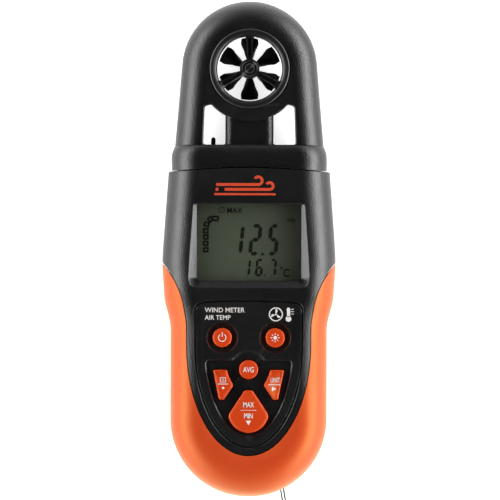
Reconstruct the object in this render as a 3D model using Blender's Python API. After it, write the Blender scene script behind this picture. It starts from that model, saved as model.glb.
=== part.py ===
"""A handheld weather meter: a casing with display and keypad, a swivelling vane head, a wrist strap.

It lies on its back: +Z comes out of the display, +Y points to the vane head, and the origin is under the
middle of the instrument, on the surface it lies on. Sizes are in millimetres until a mesh is finished.
"""

import math

import bmesh
import bpy
from mathutils import Matrix, Vector

MM = 0.001

# Overall
LENGTH = 165.0
DEPTH = 29.0
HIP_HALF = 28.9  # half the casing's width where the soft grips begin
WAIST_HALF = 26.0  # half its width in the hand, and the radius of its round heel
TAPER = 0.073  # half width lost for each millimetre away from the hip
CLEARANCE = 0.3  # between two pieces that meet
PARTING = DEPTH / 2  # height of the plane where front and rear shells meet, and of the swivel's axis

# Casing: a rounded edge is how far it reaches in over the face, and how far down the side
FRONT_EDGE = (10.0, 12.0)
REAR_EDGE = (7.0, 11.0)
WALL = 2.0
GRIP_THICKNESS = 2.0
GRIP_WALL = 1.8  # the shell's wall under the soft grips
TOP_WALL = 2.95  # the wall that the swivel passes through
# The hard face between the grips: half its width, and how far it ends below the heel's centre and
# is widest above it
FRONT_FACE = (20.8, 12.4, 24.5)
REAR_FACE = (20.4, 16.5, 6.0)

# Head
HEAD_RADIUS = 22.5
HEAD_DEPTH = 21.0
HEAD_EDGE = (8.0, 9.5)
HEAD_WALL = 2.0
LEG_HALF = 24.7  # half the width over the two legs, where they meet the collar
COLLAR_HEIGHT = 7.15
COLLAR_STEP = 0.8  # how far the collar stands in from the casing
VANE_TO_COLLAR = 25.3
STALK_HALF = 8.0
WINDOW_OUTER = 15.4
SEAM_GAP = 0.4
SEAM_RADIUS = 200.0  # both faces of the swivel's seam are shallow domes of this radius

# Swivel
SPIGOT_RADIUS = 6.6
SPIGOT_BORE = 4.6
SPIGOT_FLANGE = 9.0
FLANGE_THICKNESS = 1.6
KEY_HALF = 8.0  # half the side of the square flange by which the head turns the spigot
KEY_THICKNESS = 2.0
KEY_RISE = 2.0  # how far the square flange sits above the seam
WASHER_THICKNESS = 0.5
LUG_WIDTH = 2.4
LUG_REACH = 10.1  # from the swivel's axis

# Vane
DUCT_BORE = 10.8
DUCT_WALL = 1.1
RIM_RADIUS = 13.4
RIM_THICKNESS = 1.4
RIM_PROUD = 0.5
ARM_WIDTH = 1.9
ARM_DEPTH = 1.5
BEARING_BOSS = 3.3
BEARING_RADIUS = 1.7
BEARING_DEPTH = 1.6
SHAFT_RADIUS = 0.5
SHAFT_PLAY = 0.15
HUB_RADIUS = 2.8
HUB_LENGTH = 7.0
BLADE_COUNT = 6
BLADE_TIP_GAP = 0.4
BLADE_THICKNESS = 0.7
# Along a blade: share of the way from the shaft to the tip, width, and pitch from the plane of rotation
BLADE_STATIONS = ((0.18, 2.8, 62.0), (0.5, 4.6, 50.0), (0.8, 7.2, 42.0), (1.0, 6.4, 38.0))

# Display
WINDOW = (34.4, 25.6)
WINDOW_CORNER = 1.0
BEZEL_DROP = 1.2
LENS_MARGIN = 1.7
LENS_THICKNESS = 1.1
PANEL_THICKNESS = 2.3
BACKLIGHT_THICKNESS = 2.7
BOARD_THICKNESS = 1.6
BOARD_HALF = 20.4

# Keys
KEY_RADIUS = 3.17
KEY_DISH = 5.1
DISH_DROP = 0.9
KEY_PROUD = 0.9
KEY_TRAVEL = 0.7
KEY_FLANGE = 0.8
STEM_RADIUS = 1.5
MAT_THICKNESS = 0.8
POCKET_DROP = 0.5
AVERAGE_RECESS = 6.4  # radius of the recess round the AVG key

# Batteries: three AAA cells
CELL_RADIUS = 5.25
CELL_LENGTH = 44.5
CELL_PITCH = 11.0
NUB_RADIUS = 1.9
NUB_HEIGHT = 0.8
BAY_WALL = 1.2
COVER_THICKNESS = 1.9
COVER_SET_BACK = 0.3
COVER_LEDGE = 1.5
SPRING_LENGTH = 4.6
SPRING_WIRE = 0.7
CONTACT_THICKNESS = 0.4

# Screws
SCREW_HEAD = 1.9
SCREW_HEAD_HEIGHT = 1.4
SCREW_SHANK = 0.9
BOSS = 2.6
SMALL_BOSS = 2.0
CASE_SCREW_SEAT = 7.0
HEAD_SCREW_SEAT = 8.0

# Side cover
COVER_LENGTH = 20.2
COVER_HEIGHT = 8.0
COVER_DEPTH = 1.3

# Wrist strap
THREAD_DIAMETER = 0.5
STRAP_POST = 0.7
STRAP_X = 11.2
STRAP_POCKET = 6.0  # width
FERRULE_WIDTH = 6.2
FERRULE_LENGTH = 9.0
FERRULE_HEIGHT = 3.6
FERRULE_X = STRAP_X + 4.7
BAR = 1.2  # side of the square bar that the thread goes round
EYE = 3.6
STRAP_DIAMETER = 2.8
COIL_INNER = 13.4
TIE_WIDTH = 4.0
TIE_THICKNESS = 0.5

# Sensors in the head
PROBE_X = -12.0
PROBE_RADIUS = 0.75
PROBE_ROOT = 4.0
PROBE_TIP = 2.5
MAGNET_RADIUS = 1.7

# Places that follow from the sizes above
BOTTOM = -LENGTH / 2
TOP = LENGTH / 2
VANE_Y = TOP - HEAD_RADIUS
FERRULE_Y = BOTTOM - 30.0
COLLAR_TOP = VANE_Y - VANE_TO_COLLAR
SEAM_Y = COLLAR_TOP - COLLAR_HEIGHT
CAVITY_TOP = SEAM_Y - TOP_WALL
HIP_Y = SEAM_Y - 31.85
SHOULDER_Y = HIP_Y - 11.7
WAIST_Y = HIP_Y - 22.7
HEEL_Y = BOTTOM + WAIST_HALF
DISPLAY_Y = SEAM_Y - 25.35
KEYPAD_Y = HEEL_Y + 16.4
PANEL_TOP = DISPLAY_Y - 20.2
FLARE_BASE = HIP_Y - 22.0  # where the hard face starts to flare out to the hip
PANEL_MIDDLE = HEEL_Y + 24.5
PANEL_CROWN = 0.7
FRONT_INSIDE = DEPTH - WALL
LENS_TOP = FRONT_INSIDE - CLEARANCE
PANEL_FACE = LENS_TOP - LENS_THICKNESS - CLEARANCE
LIGHT_FACE = PANEL_FACE - PANEL_THICKNESS - CLEARANCE
BOARD_FACE = LIGHT_FACE - BACKLIGHT_THICKNESS - 1.4
BOARD_BACK = BOARD_FACE - BOARD_THICKNESS
REAR_TOP = PARTING - CLEARANCE / 2
FRONT_BASE = PARTING + CLEARANCE / 2
CELL_Z = COVER_SET_BACK + COVER_THICKNESS + 0.4 + CELL_RADIUS
BAY_CEILING = CELL_Z + CELL_RADIUS + CLEARANCE
BAY_HALF = CELL_PITCH + CELL_RADIUS + 0.35
CELL_TOP = HEEL_Y + 46.0
CELL_BOTTOM = CELL_TOP - CELL_LENGTH
BAY_TOP = CELL_TOP + 2 * CLEARANCE + CONTACT_THICKNESS
BAY_BOTTOM = CELL_BOTTOM - SPRING_LENGTH - 4 * CLEARANCE - CONTACT_THICKNESS
HEAD_FACE = PARTING + HEAD_DEPTH / 2
DUCT_RADIUS = DUCT_BORE + DUCT_WALL
AXIS_GAP = SHAFT_RADIUS + SHAFT_PLAY
RIM_TOP = HEAD_FACE + RIM_PROUD
ARM_TOP = RIM_TOP - 0.4
WASHER_TOP = CAVITY_TOP - CLEARANCE
FLANGE_TOP = WASHER_TOP - WASHER_THICKNESS - CLEARANCE
FLANGE_BASE = FLANGE_TOP - FLANGE_THICKNESS
LENS_HALF = (WINDOW[0] / 2 + LENS_MARGIN, WINDOW[1] / 2 + LENS_MARGIN)

# Screws come in pairs, left and right of the middle
def both_sides(x, y):
    return [(x, y), (-x, y)]


CASE_SCREWS = both_sides(18.4, CAVITY_TOP - 3.2) + both_sides(9.5, HEEL_Y - 10.0)
BOARD_SCREWS = both_sides(17.2, PANEL_TOP - 3.4) + both_sides(14.6, KEYPAD_Y - 15.0)
CROWN_SCREWS = both_sides(11.6, VANE_Y + 13.2)
HEAD_SCREWS = CROWN_SCREWS + both_sides(20.2, COLLAR_TOP - 2.9)


# ---------------------------------------------------------------- outlines

def smooth_step(t):
    t = min(1.0, max(0.0, t))
    return t * t * (3 - 2 * t)


def arc(cx, cy, radius, start, end, steps, squash=1.0):
    """Points along an arc, its angles in degrees; squash scales its height."""
    angles = [math.radians(start + (end - start) * i / steps) for i in range(steps + 1)]
    return [(cx + radius * math.cos(a), cy + squash * radius * math.sin(a)) for a in angles]


def mirrored(right_side):
    """Closes an outline from its right side, which runs from the bottom upwards."""
    return right_side + [(-x, y) for x, y in reversed(right_side) if abs(x) > 1e-6]


def grown(outline, distance):
    """Moves the sides of a counter-clockwise outline outwards, or inwards if distance is negative."""
    moved = []
    for i, (x, y) in enumerate(outline):
        x0, y0 = outline[i - 1]
        x1, y1 = outline[(i + 1) % len(outline)]
        before = Vector((y - y0, x0 - x)).normalized()
        after = Vector((y1 - y, x - x1)).normalized()
        corner = (before + after).normalized()
        reach = distance / max(0.35, corner.dot(after))
        moved.append((x + corner.x * reach, y + corner.y * reach))
    return moved


def rounded(corners, radii, steps=3):
    """A counter-clockwise polygon with each corner rounded, by one radius or by one for each corner."""
    points = []
    for i, corner in enumerate(corners):
        radius = radii[i] if isinstance(radii, (list, tuple)) else radii
        here = Vector(corner)
        back = (Vector(corners[i - 1]) - here).normalized()
        ahead = (Vector(corners[(i + 1) % len(corners)]) - here).normalized()
        half = math.acos(max(-1.0, min(1.0, back.dot(ahead)))) / 2
        start = here + back * radius / math.tan(half)
        end = here + ahead * radius / math.tan(half)
        for k in range(steps + 1):
            t = k / steps
            points.append(tuple(start * (1 - t) ** 2 + here * 2 * t * (1 - t) + end * t * t))
    return points


def rectangle(half_x, y0, y1, radius=0.0, steps=3):
    corners = [(-half_x, y0), (half_x, y0), (half_x, y1), (-half_x, y1)]
    return rounded(corners, radius, steps) if radius else corners


def flipped(outline):
    return [(-x, y) for x, y in reversed(outline)]


def circle(cx, cy, radius, steps=24):
    return arc(cx, cy, radius, 0, 360, steps)[:-1]


def casing_half(y):
    """Half the casing's width at y, above its round heel."""
    slope = HIP_HALF - TAPER * abs(y - HIP_Y)
    if y >= HIP_Y:
        return slope
    share = smooth_step((y - WAIST_Y) / (SHOULDER_Y - WAIST_Y))
    return WAIST_HALF + (slope - WAIST_HALF) * share


def casing_outline(fine):
    """The casing from its heel to well past the swivel's seam, which cuts it off."""
    side = arc(0, HEEL_Y, WAIST_HALF, -90, 0, 7 if fine else 4)
    steps = 3 if fine else 2
    waist = [WAIST_Y + (SHOULDER_Y - WAIST_Y) * i / steps for i in range(steps + 1)]
    side += [(casing_half(y), y) for y in waist + [HIP_Y, SEAM_Y + 16]]
    return mirrored(side)


def hard_face_outline(face, margin=0.0):
    """The hard face between the grips: half an ellipse that flares out until it takes in both sides."""
    half, bottom, middle = face
    points = arc(0, HEEL_Y + middle, half, -90, 0, 9, squash=(middle + bottom) / half)
    base = max(FLARE_BASE, HEEL_Y + middle)
    steps = 6
    for i in range(1, steps + 1):
        share = i / steps
        points.append((half + 0.4 + (HIP_HALF + 0.3 - half) * share ** 2.3, base + (HIP_Y - base) * share + 0.3))
    points.append((HIP_HALF + 20, HIP_Y + 1.2))
    points.append((HIP_HALF + 20, SEAM_Y + 30))
    return grown(mirrored(points), -margin)


def head_outline():
    """The head from inside the collar up, its legs straight below the ring."""
    below = 16
    flare = (LEG_HALF - HEAD_RADIUS) / VANE_TO_COLLAR
    side = [(LEG_HALF + flare * below, COLLAR_TOP - below)]
    side += arc(0, VANE_Y, HEAD_RADIUS, 0, 90, 7)
    return mirrored(side)


def shield_outline(half, bottom, top, corner):
    """The keypad panel: half an ellipse below, straight sides, rounded upper corners, a crowned top."""
    depth = PANEL_MIDDLE - bottom
    end = math.asin(min(0.0, (top - corner - PANEL_MIDDLE) / depth))
    side = arc(0, PANEL_MIDDLE, half, -90, math.degrees(end), 9, squash=depth / half)
    side += arc(half * math.cos(end) - corner, top - corner, corner, 0, 90, 3)
    return mirrored(side + [(0, top + PANEL_CROWN)])


def air_window(margin=0.0):
    """The right-hand window beside the stalk; its top follows the ring round the vane."""
    ring = VANE_TO_COLLAR - 7.8 - margin
    inner = STALK_HALF - margin
    outer = WINDOW_OUTER + margin
    low = COLLAR_TOP - margin
    top = [(x, VANE_Y - math.sqrt(ring ** 2 - x ** 2)) for x in (outer - 2.6, outer - 4.6, inner)]
    corners = [(inner, low), (outer, low), (outer - 0.5, VANE_Y - 12.4 + margin)] + top
    return rounded(corners, (0.8, 1.0, 1.2, 0.2, 0.2, 0.4), 2)


def side_key_outline(margin=0.0):
    """The left-hand key beside AVG: a leaning kite with a flat top."""
    corners = [(-9.8, -9.9), (-8.3, -10.1), (-5.05, -5.3), (-6.6, -2.2), (-7.2, -0.1), (-11.8, -0.1)]
    shape = rounded([(x, KEYPAD_Y + y) for x, y in corners], (0.7, 0.7, 0.7, 0.5, 0.5, 0.6), 2)
    return grown(shape, margin)


def kite_key_outline(margin=0.0):
    side = arc(0, KEYPAD_Y - 14.4, 6.6, -90, -22, 5)
    side += [(6.5, KEYPAD_Y - 15.4), (6.1, KEYPAD_Y - 14.2), (1.5, KEYPAD_Y - 7.2), (0.9, KEYPAD_Y - 6.95)]
    return grown(mirrored(side), margin)


def round_key_outline(x, y):
    return lambda margin=0.0: circle(x, y, KEY_RADIUS + margin, 16)


KEYS = {
    "key_power": (round_key_outline(-8.8, KEYPAD_Y + 10.6), (-8.8, KEYPAD_Y + 10.6)),
    "key_light": (round_key_outline(8.8, KEYPAD_Y + 10.6), (8.8, KEYPAD_Y + 10.6)),
    "key_average": (round_key_outline(0.0, KEYPAD_Y), (0.0, KEYPAD_Y)),
    "key_hold": (side_key_outline, (-8.6, KEYPAD_Y - 4.6)),
    "key_unit": (lambda margin=0.0: flipped(side_key_outline(margin)), (8.6, KEYPAD_Y - 4.6)),
    "key_minmax": (kite_key_outline, (0.0, KEYPAD_Y - 14.4)),
}
DISHED_KEYS = ("key_power", "key_light")


# ---------------------------------------------------------------- solids

MATERIALS = {
    "black_plastic": ((0.018, 0.018, 0.019), 0.5, 0.0),
    "orange_rubber": ((0.86, 0.14, 0.03), 0.55, 0.0),
    "orange_key": ((0.88, 0.12, 0.02), 0.4, 0.0),
    "clear_plastic": ((0.8, 0.85, 0.85), 0.05, 0.0),
    "display_glass": ((0.12, 0.13, 0.09), 0.15, 0.0),
    "white_plastic": ((0.8, 0.8, 0.78), 0.5, 0.0),
    "board_green": ((0.02, 0.14, 0.06), 0.45, 0.0),
    "grey_silicone": ((0.3, 0.3, 0.31), 0.7, 0.0),
    "steel": ((0.6, 0.6, 0.62), 0.3, 1.0),
    "nickel": ((0.72, 0.7, 0.66), 0.25, 1.0),
    "magnet": ((0.25, 0.25, 0.27), 0.35, 1.0),
    "cell_wrap": ((0.05, 0.12, 0.3), 0.35, 0.0),
    "cord_black": ((0.012, 0.012, 0.013), 0.8, 0.0),
}


def material(name):
    found = bpy.data.materials.get(name)
    if found:
        return found
    colour, roughness, metallic = MATERIALS[name]
    made = bpy.data.materials.new(name)
    made.use_nodes = True
    shader = made.node_tree.nodes["Principled BSDF"]
    shader.inputs["Base Color"].default_value = (*colour, 1)
    shader.inputs["Roughness"].default_value = roughness
    shader.inputs["Metallic"].default_value = metallic
    return made


def finished(name, shape, finish=None, origin=(0, 0, 0)):
    """Turns a shape in millimetres into an object: a part if it has a finish, or else a cutting tool."""
    bmesh.ops.recalc_face_normals(shape, faces=shape.faces)
    bmesh.ops.transform(shape, matrix=Matrix.Translation(-Vector(origin)), verts=shape.verts)
    bmesh.ops.scale(shape, vec=(MM, MM, MM), verts=shape.verts)
    mesh = bpy.data.meshes.new(name)
    shape.to_mesh(mesh)
    shape.free()
    made = bpy.data.objects.new(name, mesh)
    made.location = Vector(origin) * MM
    bpy.context.scene.collection.objects.link(made)
    if finish:
        mesh.materials.append(material(finish))
        mesh.shade_smooth()
        mesh.set_sharp_from_angle(angle=math.radians(32))
    else:
        made.hide_render = True
        made.display_type = "WIRE"
    return made


def lofted(rings):
    """A closed solid through rings of equally many points."""
    shape = bmesh.new()
    loops = [[shape.verts.new(point) for point in ring] for ring in rings]
    for lower, upper in zip(loops, loops[1:]):
        for i, vert in enumerate(lower):
            j = (i + 1) % len(lower)
            shape.faces.new((vert, lower[j], upper[j], upper[i]))
    shape.faces.new(list(reversed(loops[0])))
    shape.faces.new(loops[-1])
    return shape


def prism(outline, base, top):
    return lofted([[(x, y, z) for x, y in outline] for z in (base, top)])


def block(x0, x1, y0, y1, z0, z1):
    return prism([(x0, y0), (x1, y0), (x1, y1), (x0, y1)], z0, z1)


def turned(profile, centre, axis="Z", steps=24):
    """A closed profile of (radius, height) points turned about an axis through centre."""
    shape = bmesh.new()
    rings = []
    for radius, height in profile:
        if radius == 0:
            rings.append([shape.verts.new((0, 0, height))])
            continue
        angles = [2 * math.pi * (i + 0.5) / steps for i in range(steps)]
        rings.append([shape.verts.new((radius * math.cos(a), radius * math.sin(a), height)) for a in angles])
    for k, ring in enumerate(rings):
        after = rings[(k + 1) % len(rings)]
        for i in range(steps):
            j = (i + 1) % steps
            corners = [ring[i % len(ring)], ring[j % len(ring)], after[j % len(after)], after[i % len(after)]]
            face = [v for n, v in enumerate(corners) if v not in corners[:n]]
            if len(face) > 2:
                shape.faces.new(face)
    turn = {"Z": Matrix(), "Y": Matrix.Rotation(math.radians(-90), 4, "X"),
            "X": Matrix.Rotation(math.radians(90), 4, "Y")}[axis]
    bmesh.ops.transform(shape, matrix=Matrix.Translation(centre) @ turn, verts=shape.verts)
    return shape


def rod(radius, start, end, centre, axis="Z", steps=16):
    return turned([(0, start), (radius, start), (radius, end), (0, end)], centre, axis, steps)


def tube(outer, inner, start, end, centre, axis="Z", steps=24):
    return turned([(outer, start), (outer, end), (inner, end), (inner, start)], centre, axis, steps)


def boolean(target, operation, shapes):
    for shape in shapes:
        tool = shape if isinstance(shape, bpy.types.Object) else finished(f"{target.name}_tool", shape)
        modifier = target.modifiers.new(operation.lower(), "BOOLEAN")
        modifier.operation = operation
        modifier.object = tool


def cut(target, *shapes):
    boolean(target, "DIFFERENCE", shapes)


def join(target, *shapes):
    boolean(target, "UNION", shapes)


def keep_inside(target, *shapes):
    boolean(target, "INTERSECT", shapes)


def edge_levels(edge, shrink, steps):
    """Pairs of (distance from the face, inset) down a rounded edge, a quarter of an ellipse."""
    reach = max(0.5, edge[0] - shrink)
    depth = max(0.5, edge[1] - shrink)
    angles = [math.pi / 2 * i / steps for i in range(steps + 1)]
    return [(depth * (1 - math.sin(a)), reach * (1 - math.cos(a))) for a in angles]


def rounded_solid(outline, base, top, rear_edge, front_edge, shrink=0.0, steps=4):
    """A plan outline between two faces, both with rounded edges, all of it smaller by shrink."""
    levels = [(base + shrink + d, inset) for d, inset in reversed(edge_levels(rear_edge, shrink, steps))]
    levels += [(top - shrink - d, inset) for d, inset in edge_levels(front_edge, shrink, steps)]
    return lofted([[(x, y, z) for x, y in grown(outline, -shrink - inset)] for z, inset in levels])


def casing_form(shrink=0.0):
    """The casing's form; inner ones, which nobody sees, are coarser."""
    fine = shrink == 0
    steps = 3 if fine else 2
    return rounded_solid(casing_outline(fine), 0.0, DEPTH, REAR_EDGE, FRONT_EDGE, shrink, steps)


def head_form(shrink=0.0):
    base = PARTING - HEAD_DEPTH / 2
    return rounded_solid(head_outline(), base, HEAD_FACE, HEAD_EDGE, HEAD_EDGE, shrink, 3)


def seam_dome(apex, above):
    """A tool bounded by the seam's dome with its top at apex: all that lies above it, or below it."""
    reach = HIP_HALF + 12
    edge = [(reach * i / 6, apex - SEAM_RADIUS + math.sqrt(SEAM_RADIUS ** 2 - (reach * i / 6) ** 2))
            for i in range(7)]
    far = apex + 80 if above else apex - 30
    return turned(edge + [(reach, far), (0, far)], (0, 0, PARTING), "Y", 32)


def stepped_bore(wide, narrow, seat, centre):
    """A tool for a screw's hole from the back: wide for its head up to the seat, then for its shank."""
    profile = [(0, -20), (wide, -20), (wide, seat), (narrow, seat), (narrow, PARTING + 5), (0, PARTING + 5)]
    return turned(profile, centre, steps=8)


def half_space(front):
    """Everything in front of, or behind, the plane where the shells meet."""
    if front:
        return block(-60, 60, -120, 120, FRONT_BASE, 60)
    return block(-60, 60, -120, 120, -40, REAR_TOP)


# ---------------------------------------------------------------- casing

def casing_hollow(name):
    """The hollow inside a shell, up to the wall that carries the swivel."""
    hollow = finished(name, casing_form(GRIP_THICKNESS + CLEARANCE + GRIP_WALL))
    cut(hollow, block(-60, 60, CAVITY_TOP, SEAM_Y + 40, -20, 60))
    return hollow


def leave_bosses(hollow, places, radius, base=-10):
    for x, y in places:
        cut(hollow, rod(radius, base, 50, (x, y, 0), steps=10))


def side_cover_seat(margin=0.0):
    """The slot in the right flank for the side cover, square to the tapered side."""
    middle = (HIP_Y + 2 + HIP_Y + 2 + COVER_LENGTH) / 2
    half = casing_half(middle)
    lean = math.atan(TAPER)
    seat = block(-COVER_DEPTH - margin, 6 if margin else -0.25, -COVER_LENGTH / 2 - margin,
                 COVER_LENGTH / 2 + margin, -COVER_HEIGHT / 2 - margin, COVER_HEIGHT / 2 + margin)
    place = Matrix.Translation((half, middle, PARTING)) @ Matrix.Rotation(lean, 4, "Z")
    bmesh.ops.transform(seat, matrix=place, verts=seat.verts)
    return seat


def strap_pocket():
    return block(STRAP_X - STRAP_POCKET / 2, STRAP_X + STRAP_POCKET / 2, BOTTOM - 10,
                 HEEL_Y - 14.2, -5, 8.4)


def strap_post():
    return rod(STRAP_POST, STRAP_X - STRAP_POCKET, STRAP_X + STRAP_POCKET,
               (0, HEEL_Y - 17.5, 4.6), "X", 10)


def grip_region(face, margin):
    """A tool for everything outside the hard face and outside the shell under the grips."""
    region = finished("grip_region", block(-60, 60, -110, HIP_Y + 25, -10, 60))
    cut(region, prism(hard_face_outline(face, margin), -30, 80))
    return region


def front_hollow():
    """Behind the display and the keys the hollow reaches up to the face's own wall."""
    hollow = casing_hollow("front_hollow")
    join(hollow, prism(shield_outline(15.6, HEEL_Y - 7, PANEL_TOP - 1, 3), PARTING, FRONT_INSIDE))
    room_x, room_y = LENS_HALF[0] + CLEARANCE, LENS_HALF[1] + CLEARANCE
    join(hollow, block(-room_x, room_x, DISPLAY_Y - room_y, DISPLAY_Y + room_y, PARTING, FRONT_INSIDE))
    leave_bosses(hollow, CASE_SCREWS, BOSS)
    leave_bosses(hollow, BOARD_SCREWS, SMALL_BOSS, BOARD_FACE + CLEARANCE)
    return hollow


def front_shell():
    shell = finished("front_shell", half_space(True), "black_plastic")
    keep_inside(shell, casing_form())
    cut(shell, seam_dome(SEAM_Y, above=True))
    under_grip = grip_region(FRONT_FACE, CLEARANCE)
    cut(under_grip, casing_form(GRIP_THICKNESS + CLEARANCE))
    cut(shell, under_grip)
    cut(shell, front_hollow())
    for x, y in BOARD_SCREWS:
        cut(shell, rod(SCREW_SHANK + CLEARANCE, BOARD_BACK, BOARD_FACE + 5, (x, y, 0), steps=8))
    for x, y in CASE_SCREWS:
        cut(shell, rod(SCREW_SHANK + CLEARANCE, 0, PARTING + 7.5, (x, y, 0), steps=8))

    half_x, half_y = WINDOW[0] / 2, WINDOW[1] / 2
    frame = rectangle(half_x, DISPLAY_Y - half_y, DISPLAY_Y + half_y, WINDOW_CORNER)
    cut(shell, prism(frame, LENS_TOP - 1, DEPTH + 2))
    flare = rounded([(-half_x - 3.3, DISPLAY_Y - half_y - 2.4), (half_x + 3.3, DISPLAY_Y - half_y - 2.4),
                     (half_x + 1.3, DISPLAY_Y + half_y), (-half_x - 1.3, DISPLAY_Y + half_y)],
                    (2.6, 2.6, 1.0, 1.0))
    bezel = [[(x, y, DEPTH - BEZEL_DROP) for x, y in grown(frame, 0.25)],
             [(x, y, DEPTH) for x, y in flare], [(x, y, DEPTH + 1) for x, y in grown(flare, 0.4)]]
    cut(shell, lofted(bezel))

    panel = shield_outline(17.9, HEEL_Y - 9.4, PANEL_TOP, 2.6)
    groove = finished("panel_groove", prism(grown(panel, 0.3), DEPTH - 0.6, DEPTH + 2))
    cut(groove, prism(grown(panel, -0.3), 0, 60))
    cut(shell, groove)
    pocket = shield_outline(14.5, HEEL_Y - 5.6, KEYPAD_Y + 3.0, 1.2)
    recess = finished("key_recess", prism(pocket, DEPTH - POCKET_DROP, DEPTH + 2))
    join(recess, rod(AVERAGE_RECESS, DEPTH - POCKET_DROP, DEPTH + 2, (0, KEYPAD_Y, 0), steps=28))
    cut(shell, recess)
    for name, (outline, middle) in KEYS.items():
        if name in DISHED_KEYS:
            hole = KEY_RADIUS + CLEARANCE
            floor = DEPTH - DISH_DROP
            dish = [(0, FRONT_INSIDE - 1), (hole, FRONT_INSIDE - 1), (hole, floor), (KEY_DISH - DISH_DROP, floor),
                    (KEY_DISH, DEPTH + 0.01), (KEY_DISH, DEPTH + 2), (0, DEPTH + 2)]
            cut(shell, turned(dish, (*middle, 0), steps=16))
        else:
            cut(shell, prism(outline(CLEARANCE), FRONT_INSIDE - 1, DEPTH + 2))

    cut(shell, rod(SPIGOT_RADIUS + CLEARANCE, CAVITY_TOP - 1, SEAM_Y + 5, (0, 0, PARTING), "Y", 28))
    cut(shell, side_cover_seat(CLEARANCE))
    return shell


def rear_shell():
    shell = finished("rear_shell", half_space(False), "black_plastic")
    keep_inside(shell, casing_form())
    cut(shell, seam_dome(SEAM_Y, above=True))
    under_grip = grip_region(REAR_FACE, CLEARANCE)
    cut(under_grip, casing_form(GRIP_THICKNESS + CLEARANCE))
    cut(shell, under_grip)

    hollow = casing_hollow("rear_hollow")
    cut(hollow, block(-BAY_HALF - BAY_WALL, BAY_HALF + BAY_WALL, BAY_BOTTOM - BAY_WALL,
                      BAY_TOP + BAY_WALL, -5, 50))
    pocket_wall = block(STRAP_X - STRAP_POCKET / 2 - BAY_WALL, STRAP_X + STRAP_POCKET / 2 + BAY_WALL,
                        BOTTOM - 10, HEEL_Y - 14.2 + BAY_WALL, -5, 8.4 + BAY_WALL)
    cut(hollow, pocket_wall)
    leave_bosses(hollow, CASE_SCREWS, BOSS)
    stop_top = PARTING - LUG_WIDTH / 2 - CLEARANCE
    for side in (-1, 1):
        near, far = sorted((side * (SPIGOT_FLANGE + CLEARANCE), side * (LUG_REACH + 2)))
        cut(hollow, block(near, far, FLANGE_BASE - 0.5, CAVITY_TOP + 5, -5, stop_top))
    cut(shell, hollow)
    cut(shell, block(-BAY_HALF, BAY_HALF, BAY_BOTTOM, BAY_TOP, -5, BAY_CEILING))
    cut(shell, prism(grown(cover_outline(), CLEARANCE), -5, COVER_SET_BACK + COVER_THICKNESS + CLEARANCE))

    for x, y in CASE_SCREWS:
        cut(shell, stepped_bore(SCREW_HEAD + CLEARANCE, SCREW_SHANK + CLEARANCE, CASE_SCREW_SEAT, (x, y, 0)))
    pocket = finished("strap_opening", strap_pocket())
    cut(pocket, strap_post())
    cut(shell, pocket)
    cut(shell, rod(SPIGOT_RADIUS + CLEARANCE, CAVITY_TOP - 1, SEAM_Y + 5, (0, 0, PARTING), "Y", 28))
    cut(shell, side_cover_seat(CLEARANCE))
    return shell


def grip(name, front):
    """One soft grip: a horseshoe round the heel, flush with the hard face."""
    made = finished(name, half_space(front), "orange_rubber")
    keep_inside(made, casing_form())
    cut(made, casing_form(GRIP_THICKNESS))
    cut(made, prism(hard_face_outline(FRONT_FACE if front else REAR_FACE), -30, 80))
    if not front:
        cut(made, strap_pocket())
    return made


def cover_outline():
    corner = 3.0
    return rectangle(BAY_HALF + COVER_LEDGE, BAY_BOTTOM - COVER_LEDGE, BAY_TOP + COVER_LEDGE + 1, corner)


def battery_cover():
    """The cover over the cells, with the ribs under it that you push with a thumb, and its latch tongue."""
    top = COVER_SET_BACK + COVER_THICKNESS
    cover = finished("battery_cover", prism(cover_outline(), COVER_SET_BACK, top), "black_plastic")
    for i in range(4):
        y = BAY_TOP - 7 - 2.4 * i
        cut(cover, block(-7 + i, 7 - i, y - 0.5, y + 0.5, COVER_SET_BACK - 1, COVER_SET_BACK + 0.5))
    return cover


# ---------------------------------------------------------------- batteries

def batteries():
    for i in range(3):
        x = (i - 1) * CELL_PITCH
        up = 1 if i % 2 == 0 else -1
        middle = (CELL_TOP + CELL_BOTTOM) / 2
        shoulder = CELL_LENGTH / 2 - NUB_HEIGHT
        profile = [(0, -CELL_LENGTH / 2), (CELL_RADIUS, -CELL_LENGTH / 2), (CELL_RADIUS, shoulder),
                   (NUB_RADIUS, shoulder), (NUB_RADIUS, CELL_LENGTH / 2), (0, CELL_LENGTH / 2)]
        profile = [(r, h * up) for r, h in profile]
        finished(f"battery_{i + 1}", turned(profile, (x, middle, CELL_Z), "Y", 14), "cell_wrap")
        coil_spring(f"battery_spring_{i + 1}", (x, CELL_BOTTOM - CLEARANCE - SPRING_LENGTH, CELL_Z))


def coil_spring(name, base):
    """A cone of wire that narrows towards the cell."""
    turns = 3
    per_turn = 8
    count = int(turns * per_turn)
    rise = SPRING_LENGTH - SPRING_WIRE
    curve = bpy.data.curves.new(name, "CURVE")
    curve.dimensions = "3D"
    curve.bevel_depth = SPRING_WIRE / 2 * MM
    curve.bevel_resolution = 0
    curve.use_fill_caps = True
    spline = curve.splines.new("POLY")
    spline.points.add(count)
    for i, point in enumerate(spline.points):
        share = i / count
        a = 2 * math.pi * turns * share
        r = 4.0 - 2.0 * share
        y = SPRING_WIRE / 2 + rise * share
        point.co = (r * math.cos(a) * MM, y * MM, r * math.sin(a) * MM, 1)
    made = bpy.data.objects.new(name, curve)
    made.location = Vector(base) * MM
    curve.materials.append(material("steel"))
    bpy.context.scene.collection.objects.link(made)
    return made


def contact(name, left, right, y):
    """A plate that stands at one end of the battery bay."""
    shape = block(left - 4.2, right + 4.2, y, y + CONTACT_THICKNESS, CELL_Z - 3.8, CELL_Z + 3.8)
    return finished(name, shape, "nickel")


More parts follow.
